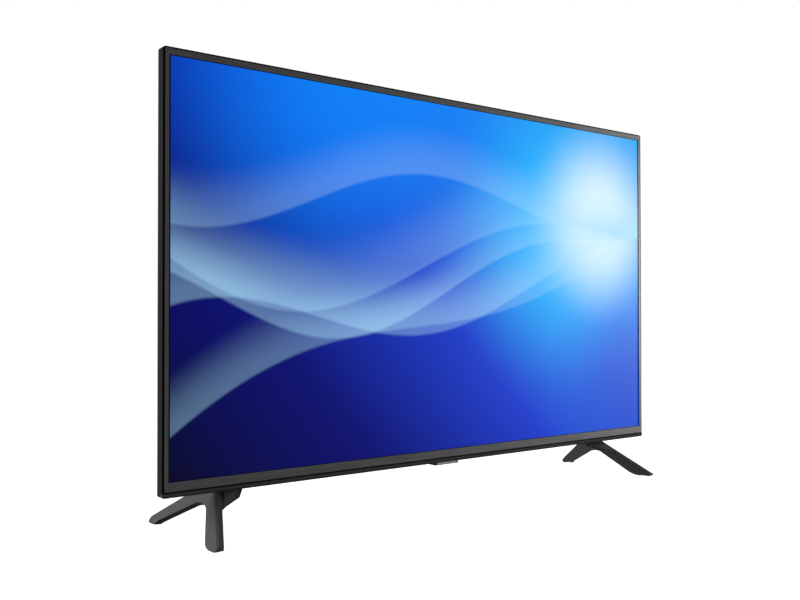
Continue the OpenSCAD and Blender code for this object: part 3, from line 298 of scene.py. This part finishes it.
# %% Silk bands
FAN_V = 0.66  # the height at the right edge where all the bands meet
EDGE_FROM, EDGE_TO = -0.008, 0.004
BANDS = (  # rise at the left end, swing, waves, phase, width of the veil, brightness
    (-0.62, 0.16, 0.80, 0.4, 0.16, 0.20), (-0.44, 0.20, 0.95, 1.3, 0.20, 0.24),
    (-0.30, 0.18, 1.10, 2.3, 0.14, 0.24), (-0.12, 0.22, 0.90, 3.2, 0.22, 0.20),
    (0.10, 0.16, 1.05, 4.4, 0.16, 0.18))
from_right = add(tree, "ShaderNodeMath", {"operation": "SUBTRACT"}, {0: 1.0, 1: u})
silk = 0.0
for rise, swing, waves, phase, veil, bright in BANDS:
    wave = add(tree, "ShaderNodeMath", {"operation": "MULTIPLY_ADD"}, {0: u, 1: waves * 2 * pi, 2: phase})
    wave = add(tree, "ShaderNodeMath", {"operation": "SINE"}, {0: wave})
    wave = add(tree, "ShaderNodeMath", {"operation": "MULTIPLY_ADD"}, {0: wave, 1: swing, 2: rise})
    wave = add(tree, "ShaderNodeMath", {"operation": "MULTIPLY_ADD"}, {0: wave, 1: from_right, 2: FAN_V})
    above = add(tree, "ShaderNodeMath", {"operation": "SUBTRACT"}, {0: v, 1: wave})
    fade = add(tree, "ShaderNodeMapRange", {"interpolation_type": "SMOOTHSTEP"},
               {"Value": above, "From Min": 0.0, "From Max": veil, "To Min": bright, "To Max": 0.0})
    edge = add(tree, "ShaderNodeMapRange", {"interpolation_type": "SMOOTHSTEP"},
               {"Value": above, "From Min": EDGE_FROM, "From Max": EDGE_TO})
    band = add(tree, "ShaderNodeMath", {"operation": "MULTIPLY"}, {0: fade, 1: edge})
    silk = add(tree, "ShaderNodeMath", {"operation": "ADD"}, {0: silk, 1: band})
picture = add(tree, "ShaderNodeMix", {"data_type": "RGBA", "clamp_factor": True},
              {"Factor": silk, "A": picture, "B": colour("#a9dcff")})
print("bands:", len(BANDS))

# %% Border of the picture
LEFT_BORDER = 0.0021  # the dark edge of the glass shows only beside the left bar
across = add(tree, "ShaderNodeMath", {"operation": "SUBTRACT"}, {0: split.outputs["X"], 1: LEFT_BORDER / 2})
across = add(tree, "ShaderNodeMath", {"operation": "ABSOLUTE"}, {0: across})
inside = add(tree, "ShaderNodeMath", {"operation": "LESS_THAN"},
             {0: across, 1: picture_half_w - LEFT_BORDER / 2})
height = add(tree, "ShaderNodeMath", {"operation": "SUBTRACT"}, {0: split.outputs["Z"], 1: screen_middle.z})
height = add(tree, "ShaderNodeMath", {"operation": "ABSOLUTE"}, {0: height})
between = add(tree, "ShaderNodeMath", {"operation": "LESS_THAN"}, {0: height, 1: picture_half_h})
inside = add(tree, "ShaderNodeMath", {"operation": "MULTIPLY"}, {0: inside, 1: between})
front = add(tree, "ShaderNodeMath", {"operation": "LESS_THAN"},
            {0: split.outputs["Y"], 1: panel_low.y + HAIR})
inside = add(tree, "ShaderNodeMath", {"operation": "MULTIPLY"}, {0: inside, 1: front})
picture = add(tree, "ShaderNodeMix", {"data_type": "RGBA"},
              {"Factor": inside, "A": colour("#000000"), "B": picture})
print("lit part:", round(2 * picture_half_w - LEFT_BORDER, 4), "m wide")

# %% Lit screen
HAZE_PER_CM = 9  # the real haze of a matt polariser is finer, drawn coarser so that it shows
haze = add(tree, "ShaderNodeTexNoise", {}, {"Vector": place, "Scale": 100 * HAZE_PER_CM, "Detail": 2.0})
haze = add(tree, "ShaderNodeMapRange", {}, {"Value": haze, "To Min": 0.36, "To Max": 0.48})
plug(tree, shader, {"Base Color": colour("#020203"), "Specular IOR Level": 0.04, "Roughness": haze,
                    "Emission Color": picture, "Emission Strength": 1.0})
dress(screen, "lcd_panel")
print("screen nodes:", len(tree.nodes))

# %% [markdown]
# The trim, the frame, the covers and the small mouldings are ABS. A spark-eroded mould gives such plastic
# a fine leather-like grain, which scatters the light, so it looks even and a little soft. One function
# makes each of them: the grain is a noise of about a millimetre, drawn coarser than the real 0.2 mm so
# that it shows, and it moves the colour, the roughness and the surface a little. A second noise lets the
# tone drift over a moulding.

# %% Moulded plastic
DRIFT_MM = 90
ABS_IOR = 1.53
GRAIN_RUB = 0.05  # how far the grain moves the roughness up and down


def moulded(name, dark, pale, roughness, grain_mm, relief, shine):
    finish, tree, shader, place = begin_finish(name)
    grain = add(tree, "ShaderNodeTexNoise", {},
                {"Vector": place, "Scale": 1000 / grain_mm, "Detail": 3.0, "Roughness": 0.6})
    drift = add(tree, "ShaderNodeTexNoise", {}, {"Vector": place, "Scale": 1000 / DRIFT_MM, "Detail": 2.0})
    blend = add(tree, "ShaderNodeMath", {"operation": "MULTIPLY"}, {0: drift, 1: 0.5})
    blend = add(tree, "ShaderNodeMath", {"operation": "MULTIPLY_ADD"}, {0: grain, 1: 0.5, 2: blend})
    tone = add(tree, "ShaderNodeMix", {"data_type": "RGBA"},
               {"Factor": blend, "A": colour(dark), "B": colour(pale)})
    rough = add(tree, "ShaderNodeMapRange", {},
                {"Value": blend, "From Min": NOISE_LOW, "From Max": NOISE_HIGH,
                 "To Min": roughness - GRAIN_RUB, "To Max": roughness + GRAIN_RUB})
    bump = add(tree, "ShaderNodeBump", {}, {"Height": grain, "Strength": relief, "Distance": GRAIN_DEPTH})
    plug(tree, shader, {"Base Color": tone, "Roughness": rough, "Normal": bump,
                        "Specular IOR Level": shine, "IOR": ABS_IOR})
    return finish


# %% Plastics that show
dress(moulded("black_satin_abs", "#0f0f10", "#161617",
              roughness=0.55, grain_mm=1.0, relief=0.10, shine=0.02), "middle_frame")
dress(moulded("charcoal_moulded_abs", "#48484a", "#545456",
              roughness=0.60, grain_mm=1.0, relief=0.10, shine=0.0), "bottom_trim", "sensor_housing")
dress(moulded("black_grained_abs", "#141415", "#1d1d1f",
              roughness=0.60, grain_mm=1.2, relief=0.30, shine=0.06), "rear_cover", "electronics_cover")
foot_abs = moulded("dark_grey_satin_abs", "#525253", "#5c5c5d",
                   roughness=0.60, grain_mm=0.9, relief=0.08, shine=0.0)
dress(foot_abs, "foot_left", "foot_right")
dress(moulded("dark_polished_abs", "#1a1a1b", "#232324",
              roughness=0.30, grain_mm=0.8, relief=0.05, shine=0.25), "power_button")
dress(moulded("black_nylon", "#0d0d0e", "#151516",
              roughness=0.50, grain_mm=0.7, relief=0.15, shine=0.2), "audio_socket", "power_inlet")
dress(moulded("black_ribbed_abs", "#161617", "#202022",
              roughness=0.60, grain_mm=1.0, relief=0.20, shine=0.2), "speaker_box_left", "speaker_box_right")
dress(moulded("black_rubber", "#0b0b0b", "#131313",
              roughness=0.80, grain_mm=0.8, relief=0.30, shine=0.1), "foot_pads", "speaker_grommets")
window = moulded("metallised_acrylic_window", "#66676a", "#727376",
                 roughness=0.30, grain_mm=2.0, relief=0.02, shine=0.2)
plug(window.node_tree, window.node_tree.nodes["Principled BSDF"], {"Metallic": 1.0})
dress(window, "sensor_lens")
print("plastics:", [finish.name for finish in bpy.data.materials if "abs" in finish.name])

# %% [markdown]
# The plates and shells inside are sheet metal. Zinc-plated steel shows a soft, cloudy spangle, and drawn
# or rolled metal shows faint lines. A pattern of cells makes the clouds, a stretched noise makes the
# lines, and the two are mixed half and half.

# %% Sheet metal
LINES_PER_CM = 9  # rolling lines, drawn coarser than real ones so that they show
LINE_LENGTH_MM = 50
CLOUD_LOW, CLOUD_HIGH = 0.2, 0.8
CLOUD_RUB = 0.08  # how far the clouds move the roughness up and down


def sheet_metal(name, dark, pale, roughness, spangle_mm, metallic=1.0):
    finish, tree, shader, place = begin_finish(name)
    cloud = add(tree, "ShaderNodeTexVoronoi", {}, {"Vector": place, "Scale": 1000 / spangle_mm})
    line_scale = (1000 / LINE_LENGTH_MM, 100 * LINES_PER_CM, 100 * LINES_PER_CM)
    rolled = add(tree, "ShaderNodeMapping", {}, {"Vector": place, "Scale": line_scale})
    rolled = add(tree, "ShaderNodeTexNoise", {}, {"Vector": rolled, "Scale": 1.0, "Detail": 2.0})
    blend = add(tree, "ShaderNodeMix", {"data_type": "FLOAT"}, {"Factor": 0.5, "A": cloud, "B": rolled})
    tone = add(tree, "ShaderNodeMix", {"data_type": "RGBA"},
               {"Factor": blend, "A": colour(dark), "B": colour(pale)})
    rough = add(tree, "ShaderNodeMapRange", {},
                {"Value": blend, "From Min": CLOUD_LOW, "From Max": CLOUD_HIGH,
                 "To Min": roughness - CLOUD_RUB, "To Max": roughness + CLOUD_RUB})
    bump = add(tree, "ShaderNodeBump", {}, {"Height": rolled, "Strength": 0.05, "Distance": HAIR})
    plug(tree, shader, {"Base Color": tone, "Metallic": metallic, "Roughness": rough, "Normal": bump})
    return finish


# %% Plates, sockets and fixings
dress(sheet_metal("zinc_plated_sheet_steel", "#8f9396", "#b4b8ba", roughness=0.38, spangle_mm=9.0),
      "back_plate", "foot_bracket_left", "foot_bracket_right")
dress(sheet_metal("turned_steel", "#7d8083", "#96999c", roughness=0.32, spangle_mm=4.0), "wall_mount_posts")
dress(sheet_metal("nickel_plated_shell", "#9a9ea2", "#b6babd", roughness=0.24, spangle_mm=3.0),
      "hdmi_sockets", "usb_sockets", "lan_socket", "aerial_socket")
dress(sheet_metal("tin_plated_brass", "#b79f62", "#d2bb80", roughness=0.25, spangle_mm=2.0), "inlet_pins")
dress(sheet_metal("extruded_aluminium", "#9ea2a6", "#b8bcc0", roughness=0.35, spangle_mm=6.0),
      "processor_heatsink", "power_heatsinks")
dress(sheet_metal("plain_zinc_screw", "#a8abad", "#c3c6c8", roughness=0.30, spangle_mm=2.0), "board_screws")
dress(sheet_metal("black_painted_steel", "#2e2e30", "#3b3b3d", roughness=0.40, spangle_mm=3.0),
      "speaker_driver_left", "speaker_driver_right")
dress(sheet_metal("aluminium_can_with_sleeve", "#15171d", "#23262e",
                  roughness=0.40, spangle_mm=5.0, metallic=0.3), "filter_capacitors")
black_zinc = sheet_metal("black_zinc_screw", "#19191b", "#28282a", roughness=0.36, spangle_mm=2.0)
dress(black_zinc, "rear_cover_screws", "electronics_cover_screws", "foot_screws")
print("steels:", [finish.name for finish in bpy.data.materials if "steel" in finish.name])

# %% [markdown]
# Circuit boards are glass fibre under a lacquer. The copper lines below the lacquer show as slightly
# paler paths on a grid. A fine checker pattern stands for them, and square cells make it stronger in some
# areas than in others, as on a board with crowded and empty places.

# %% Circuit boards
PATH_MM = 1.5
AREA_MM = 14


def lacquered_board(name, dark, pale):
    finish, tree, shader, place = begin_finish(name)
    paths = add(tree, "ShaderNodeTexChecker", {}, {"Vector": place, "Scale": 1000 / PATH_MM})
    areas = add(tree, "ShaderNodeTexVoronoi", {"distance": "CHEBYCHEV"},
                {"Vector": place, "Scale": 1000 / AREA_MM})
    mask = add(tree, "ShaderNodeMath", {"operation": "MULTIPLY"}, {0: paths.outputs["Fac"], 1: areas})
    tone = add(tree, "ShaderNodeMix", {"data_type": "RGBA"},
               {"Factor": mask, "A": colour(dark), "B": colour(pale)})
    bump = add(tree, "ShaderNodeBump", {}, {"Height": mask, "Strength": 0.2, "Distance": HAIR})
    plug(tree, shader, {"Base Color": tone, "Roughness": 0.35, "Normal": bump})
    return finish


dress(lacquered_board("green_lacquered_board", "#0d3a20", "#1d6a3c"),
      "mainboard", "tcon_board", "source_board_left", "source_board_right", "sensor_board")
dress(lacquered_board("tan_paper_board", "#6b4f26", "#8c6a38"), "power_board")
dress(lacquered_board("white_strip_board", "#d6d6cf", "#eeeee8"),
      "led_strip_top", "led_strip_middle", "led_strip_bottom")
print("boards:", [finish.name for finish in bpy.data.materials if "board" in finish.name])

# %% [markdown]
# The rest is inside the set: white films and plates of the light box, clear lenses, flat ribbons and the
# leads. Their finishes are plain plastics again, with the grain that each of them has.

# %% Inner finishes
for name, dark, pale, roughness, grain_mm, nodes in (
        ("white_optical_film", "#dde1e4", "#eef0f1", 0.5, 0.8, ("prism_film", "diffuser_film")),
        ("white_foamed_polyester", "#ececec", "#fafafa", 0.8, 1.5,
         ("diffuser_plate", "reflector_sheet", "plate_supports")),
        ("frosted_acrylic_lens", "#cfdde4", "#e6eff3", 0.2, 3.0, ("led_lenses",)),
        ("amber_polyimide_film", "#a86c1c", "#c98a2b", 0.4, 1.0, ("driver_films",)),
        ("white_ribbon_jacket", "#cfd0d1", "#e2e3e4", 0.5, 1.0, ("tcon_ribbons", "panel_ribbon")),
        ("ferrite_and_yellow_tape", "#b8932e", "#d2ae45", 0.6, 2.0, ("transformer",)),
        ("red_wire_jacket", "#96232a", "#b8323a", 0.45, 1.0, ("power_lead",)),
        ("white_wire_jacket", "#c6c6c6", "#dedede", 0.45, 1.0, ("backlight_lead",)),
        ("black_wire_jacket", "#1a1a1c", "#29292c", 0.45, 1.0, ("speaker_leads", "sensor_lead"))):
    dress(moulded(name, dark, pale, roughness, grain_mm, relief=0.1, shine=0.4), *nodes)
undressed = [name for name, piece in pieces.items()
             if len(piece.data.materials) != 1 or not piece.data.materials[0].use_nodes]
print("materials:", len(bpy.data.materials), "undressed:", undressed)

# %% [markdown]
# Each foot is one moulding, like an upside-down V that leans outward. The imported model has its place,
# root and reach, but slimmer legs than the real ones, so fuller feet are modelled here. Each leg is drawn
# as an outline on the leaning outer plane, one corner after the other, its corners are rounded, and the
# face is drawn out to its thickness: level for the front leg and square to the plane for the rear one.
# First come a few helpers for the steps that a modeller repeats by hand.

# %% Taking a piece and picking parts of it
def take(piece):
    bpy.ops.object.select_all(action="DESELECT")
    piece.select_set(True)
    bpy.context.view_layer.objects.active = piece


def open_mesh(piece):
    take(piece)
    bpy.ops.object.mode_set(mode="EDIT")
    bpy.ops.mesh.select_all(action="SELECT")


def close_mesh():
    bpy.ops.object.mode_set(mode="OBJECT")


def pick(piece, kind, wanted):
    bpy.ops.mesh.select_mode(type=kind)
    bpy.ops.mesh.select_all(action="DESELECT")
    shape = bmesh.from_edit_mesh(piece.data)
    for part in {"FACE": shape.faces, "EDGE": shape.edges, "VERT": shape.verts}[kind]:
        part.select_set(wanted(part))
    bmesh.update_edit_mesh(piece.data)


# %% Cutting and joining pieces
def trim(piece, spot, away):
    open_mesh(piece)
    bpy.ops.mesh.bisect(plane_co=spot, plane_no=away, use_fill=True, clear_outer=True)
    close_mesh()


def combine(piece, other, operation):
    take(piece)
    step = piece.modifiers.new(operation.lower(), "BOOLEAN")
    step.operation = operation
    step.object = other
    bpy.ops.object.modifier_apply(modifier=step.name)
    bpy.data.objects.remove(other)


# %% Leaning plane of a foot
MM = 0.001
LEAN = 0.75  # sideways run of the outer face for each part of drop
foot_low, foot_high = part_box("foot_right")
root_x = foot_high.x - LEAN * (foot_high.z - foot_low.z)
outward = Vector((1, 0, LEAN)).normalized()


def on_plane(y_mm, drop_mm):
    drop = min(drop_mm * MM, foot_high.z - foot_low.z)
    return Vector((root_x + LEAN * drop, bezel_low.y + y_mm * MM, foot_high.z - drop))


print("foot root:", round(root_x, 4), "outward:", [round(part, 2) for part in outward])


# %% One leg from its outline
NEAR = 0.1 * MM


def make_leg(name, corners, thickness, at=on_plane):
    places = [at(along, drop) for along, drop, rounding in corners]
    bpy.ops.object.select_all(action="DESELECT")
    bpy.ops.mesh.primitive_plane_add(size=MM, location=(0, 0, 0))
    leg = bpy.context.object
    leg.name = name
    open_mesh(leg)
    bpy.ops.mesh.select_mode(type="VERT")
    bpy.ops.mesh.merge(type="CENTER")
    bpy.ops.transform.translate(value=places[0])
    for here, there in zip(places, places[1:]):
        bpy.ops.mesh.extrude_vertices_move(TRANSFORM_OT_translate={"value": there - here})
    bpy.ops.mesh.select_all(action="SELECT")
    bpy.ops.mesh.edge_face_add()
    for place, (along, drop, rounding) in zip(places, corners):
        if rounding:
            pick(leg, "VERT", lambda point: (point.co - place).length < NEAR)
            bpy.ops.mesh.bevel(offset=rounding * MM, affect="VERTICES", segments=8)
    pick(leg, "FACE", lambda face: True)
    bpy.ops.mesh.extrude_region_move(TRANSFORM_OT_translate={"value": thickness})
    bpy.ops.mesh.select_all(action="SELECT")
    bpy.ops.mesh.normals_make_consistent(inside=False)
    close_mesh()
    return leg


# %% [markdown]
# The front leg is a wedge: thin at its leading edge and thick at its heel. Its outline is drawn out level
# to the full thickness, and one cut along the leading edge and the heel makes the wedge. A second cut
# takes off the sharp arris, and the sole's edges are rounded. The corners are given in millimetres: the
# place along Y from the bezel's face, the drop from the root, and the rounding. The drop of the sole is a
# little more than the foot's, and on_plane stops it at the foot's lowest point, where the pads are.

# %% Front leg
SOLE = 60.2
TOE, ROOT, HEEL = (-54.4, 54.3), (29.05, 0.1), (-29, SOLE)
HEEL_THICK, EDGE_THICK = 24 * MM, 9 * MM
CHAMFER, SOLE_ROUND = 1.0 * MM, 4 * MM
front_leg = make_leg("front_leg", (
    (*ROOT, 0), (*TOE, 3), (TOE[0], SOLE, 3), (*HEEL, 10), (36, 13, 0), (36.4, 0.1, 0)), (-HEEL_THICK, 0, 0))
leading = (on_plane(*ROOT) - on_plane(*TOE)).normalized()
edge_spot = on_plane(*TOE) - Vector((EDGE_THICK, 0, 0))
heel_spot = on_plane(*HEEL) - Vector((HEEL_THICK, 0, 0))
inward = leading.cross(heel_spot - edge_spot).normalized()
trim(front_leg, edge_spot, inward if inward.x < 0 else -inward)
forward = leading.cross(Vector((1, 0, 0))).normalized()
arris = (outward + (forward if forward.y < 0 else -forward)).normalized()
trim(front_leg, on_plane(*TOE) - CHAMFER * arris, arris)
open_mesh(front_leg)
pick(front_leg, "EDGE", lambda edge: all(
    point.co.z < foot_low.z + NEAR and point.co.x < foot_high.x - SOLE_ROUND for point in edge.verts))
bpy.ops.mesh.bevel(offset=SOLE_ROUND, segments=5)
close_mesh()
print("front leg faces:", len(front_leg.data.polygons))

# %% [markdown]
# The rear leg is a flat bar of even thickness that sweeps back from the root, so its outline is drawn out
# square to the leaning plane. Boolean operations go wrong where two faces lie in one plane, so the bar is
# set back by half a hair and its top is cut two hairs low.

# %% Rear leg
REAR_THICK = 7.5 * MM
rear_leg = make_leg("rear_leg", (
    (35, 0, 0), (20, 10, 0), (10, 31.8, 0), (36, 13, 24), (119, 54.5, 5), (123, SOLE, 2), (141, SOLE, 3),
    (145, 54.2, 5), (72.5, 8, 20), (36.6, 0, 0)), -REAR_THICK * outward)
open_mesh(rear_leg)
bpy.ops.transform.translate(value=-HAIR / 2 * outward)
close_mesh()
trim(rear_leg, (0, 0, foot_low.z), (0, 0, -1))
trim(rear_leg, (0, 0, foot_high.z - 2 * HAIR), (0, 0, 1))
print("rear leg faces:", len(rear_leg.data.polygons))

# %% [markdown]
# The plate at the root takes the screws, and a web runs from it down to the legs. Both are cut from a
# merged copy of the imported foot, so that the screws keep their seats. The real web is shorter, with a
# curved lower edge, so a block with that curve is cut from it. Then the three parts are made one
# moulding.

# %% Root of the foot
ROOT_DROP, ROOT_BACK, ROOT_INSET = 36 * MM, 36 * MM, 8 * MM
CAD_WELD = 0.001 * MM
foot_root = bpy.data.objects.new("foot_root", pieces["foot_right"].data.copy())
bpy.context.collection.objects.link(foot_root)
open_mesh(foot_root)
bpy.ops.mesh.remove_doubles(threshold=CAD_WELD)
close_mesh()
trim(foot_root, (0, 0, foot_high.z - ROOT_DROP), (0, 0, -1))
trim(foot_root, (0, bezel_low.y + ROOT_BACK, 0), (0, 1, 0))
trim(foot_root, on_plane(0, 0) - ROOT_INSET * outward, outward)
print("root faces:", len(foot_root.data.polygons))

# %% Curve of the web
WEB_CURVE = (  # mm inward from the root and mm of drop, along the web's lower edge
    (39, 0.5), (37.5, 3.5), (34, 6.5), (29, 10), (22, 15), (16, 20.6), (11.5, 26.4), (8.5, 30.7), (6, 38))
PAST_WEB, OVER_WEB = 62, -2  # mm, where the cutting block ends beside and above the web


def on_web(inward_mm, drop_mm):
    return Vector((root_x - inward_mm * MM, foot_low.y, foot_high.z - drop_mm * MM))


below_web = make_leg("below_web", [(*spot, 0) for spot in (
    (WEB_CURVE[0][0], OVER_WEB), *WEB_CURVE, (PAST_WEB, WEB_CURVE[-1][1]), (PAST_WEB, OVER_WEB))],
    (0, foot_high.y - foot_low.y, 0), on_web)
combine(foot_root, below_web, "DIFFERENCE")
print("root faces after the cut:", len(foot_root.data.polygons))

# %% Right and left foot
SEAM_WELD = 0.01 * MM
for part in (rear_leg, foot_root):
    combine(front_leg, part, "UNION")
open_mesh(front_leg)
bpy.ops.mesh.remove_doubles(threshold=SEAM_WELD)
bpy.ops.mesh.dissolve_degenerate(threshold=SEAM_WELD)
bpy.ops.mesh.normals_make_consistent(inside=False)
close_mesh()
bpy.ops.object.duplicate()
mirrored = bpy.context.object
open_mesh(mirrored)
bpy.ops.transform.resize(value=(-1, 1, 1), center_override=(0, 0, 0))
bpy.ops.mesh.remove_doubles(threshold=CAD_WELD)
bpy.ops.mesh.normals_make_consistent(inside=False)
close_mesh()
for foot, node in ((front_leg, "foot_right"), (mirrored, "foot_left")):
    foot.name = node + "_moulding"
    take(foot)
    bpy.ops.object.shade_smooth_by_angle(angle=radians(20))
    foot.data.materials.clear()
    foot.data.materials.append(foot_abs)
    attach(foot, "television")
    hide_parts(node)
    print(foot.name, len(foot.data.polygons), "faces", [round(side, 4) for side in foot.dimensions])
bpy.ops.object.select_all(action="DESELECT")

# %% [markdown]
# Pan head screws with a cross recess hold the covers and the feet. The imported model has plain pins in
# their places, because a recess of a millimetre matters to the eye alone. Each size of screw is modelled
# once, as by hand: a short cylinder gets a rounded rim, its underside is inset and drawn out to the
# shank, and a cross is cut into its head. The cross is a small cube with four arms, narrower at its lower
# end as a driver's tip is.

# %% Cross in a screw head
ARM_WIDTH, ARM_REACH = 0.26, 0.42  # shares of the head's radius
CROSS_DEPTH = 0.7                  # share of the head's height
CROSS_TAPER = 0.6


def cut_cross(screw, head_r, head_h):
    arm = ARM_WIDTH * head_r
    bpy.ops.mesh.primitive_cube_add(size=arm, location=(0, 0, head_h))
    cross = bpy.context.object
    open_mesh(cross)
    bpy.ops.transform.resize(value=(1, 1, 2 * CROSS_DEPTH * head_h / arm))
    pick(cross, "FACE", lambda face: abs(face.normal.z) < 0.1)
    bpy.ops.mesh.extrude_faces_move(TRANSFORM_OT_shrink_fatten={"value": ARM_REACH * head_r})
    pick(cross, "VERT", lambda point: point.co.z < 0)
    bpy.ops.transform.resize(value=(CROSS_TAPER, CROSS_TAPER, 1))
    close_mesh()
    combine(screw, cross, "DIFFERENCE")


# %% One screw
RIM_ROUND = 0.5  # share of the head's height
TIP_ROUND = 0.4  # share of the shank's radius
ALMOST = 0.99    # finds the ends in spite of rounding errors


def cross_screw(head_r, head_h, shank_r, length):
    tip = head_h - length
    bpy.ops.object.select_all(action="DESELECT")
    bpy.ops.mesh.primitive_cylinder_add(
        vertices=32, radius=head_r, depth=head_h, location=(0, 0, head_h / 2))
    screw = bpy.context.object
    bpy.ops.object.transform_apply()
    open_mesh(screw)
    pick(screw, "EDGE", lambda edge: all(point.co.z > ALMOST * head_h for point in edge.verts))
    bpy.ops.mesh.bevel(offset=RIM_ROUND * head_h, segments=4)
    pick(screw, "FACE", lambda face: face.normal.z < -ALMOST)
    bpy.ops.mesh.inset(thickness=head_r - shank_r)
    bpy.ops.mesh.extrude_region_move(TRANSFORM_OT_translate={"value": (0, 0, tip)})
    pick(screw, "EDGE", lambda edge: all(point.co.z < ALMOST * tip for point in edge.verts))
    bpy.ops.mesh.bevel(offset=TIP_ROUND * shank_r, segments=1)
    close_mesh()
    cut_cross(screw, head_r, head_h)
    bpy.ops.object.shade_smooth_by_angle(angle=radians(35))
    return screw


# %% [markdown]
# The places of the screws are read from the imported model: each group of pins is one node, and its
# separate solids give one box per screw. A copy goes to each box, with the cross at another angle each
# time, because nobody stops every screw at the same turn. The copies of a group are then joined into one
# piece.

# %% Places of the solids in a node
SAME_POINT = 1e-6


def solids_of(node):
    shape = bmesh.new()
    shape.from_mesh(pieces[node].data)
    bmesh.ops.remove_doubles(shape, verts=shape.verts, dist=SAME_POINT)
    left_over, boxes = set(shape.verts), []
    while left_over:
        waiting, solid = [left_over.pop()], []
        while waiting:
            point = waiting.pop()
            solid.append(point.co.copy())
            near = {edge.other_vert(point) for edge in point.link_edges} & left_over
            left_over -= near
            waiting += near
        boxes.append([Vector([end(axis) for axis in zip(*solid)]) for end in (min, max)])
    shape.free()
    return sorted(boxes, key=lambda box: [round(part, 4) for part in box[0]])


# %% Screws in their places
TURN_STEP = radians(37)


def drive_screws(name, node, head_h, shank_r, head_down=False):
    boxes = solids_of(node)
    size = boxes[0][1] - boxes[0][0]
    screw = cross_screw(size.x / 2, head_h, shank_r, size.z if head_down else size.y)
    lay = Matrix.Rotation(pi if head_down else -pi / 2, 4, "X")
    copies = []
    for number, (low, high) in enumerate(boxes):
        spot = (low + high) / 2
        if head_down:
            spot.z = low.z + head_h
        else:
            spot.y = high.y - head_h
        take(screw)
        bpy.ops.object.duplicate()
        copy = bpy.context.object
        turn = Matrix.Rotation(number * TURN_STEP, 4, "Z")
        copy.matrix_world = Matrix.Translation(spot) @ lay @ turn
        copies.append(copy)
    bpy.data.objects.remove(screw)
    join_screws(name, node, copies)


def join_screws(name, node, copies):
    take(copies[0])
    for copy in copies:
        copy.select_set(True)
    bpy.ops.object.transform_apply()
    bpy.ops.object.join()
    group = bpy.context.object
    group.name = name
    group.data.materials.append(black_zinc)
    bpy.ops.object.select_all(action="DESELECT")
    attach(group, "television")
    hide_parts(node)
    print(name, len(copies), "screws,", len(group.data.polygons), "faces")


drive_screws("rear_cover_cross_screws", "rear_cover_screws", head_h=0.0020, shank_r=0.0015)
drive_screws("electronics_cover_cross_screws", "electronics_cover_screws", head_h=0.0020, shank_r=0.0015)
drive_screws("foot_cross_screws", "foot_screws", head_h=0.0025, shank_r=0.0020, head_down=True)
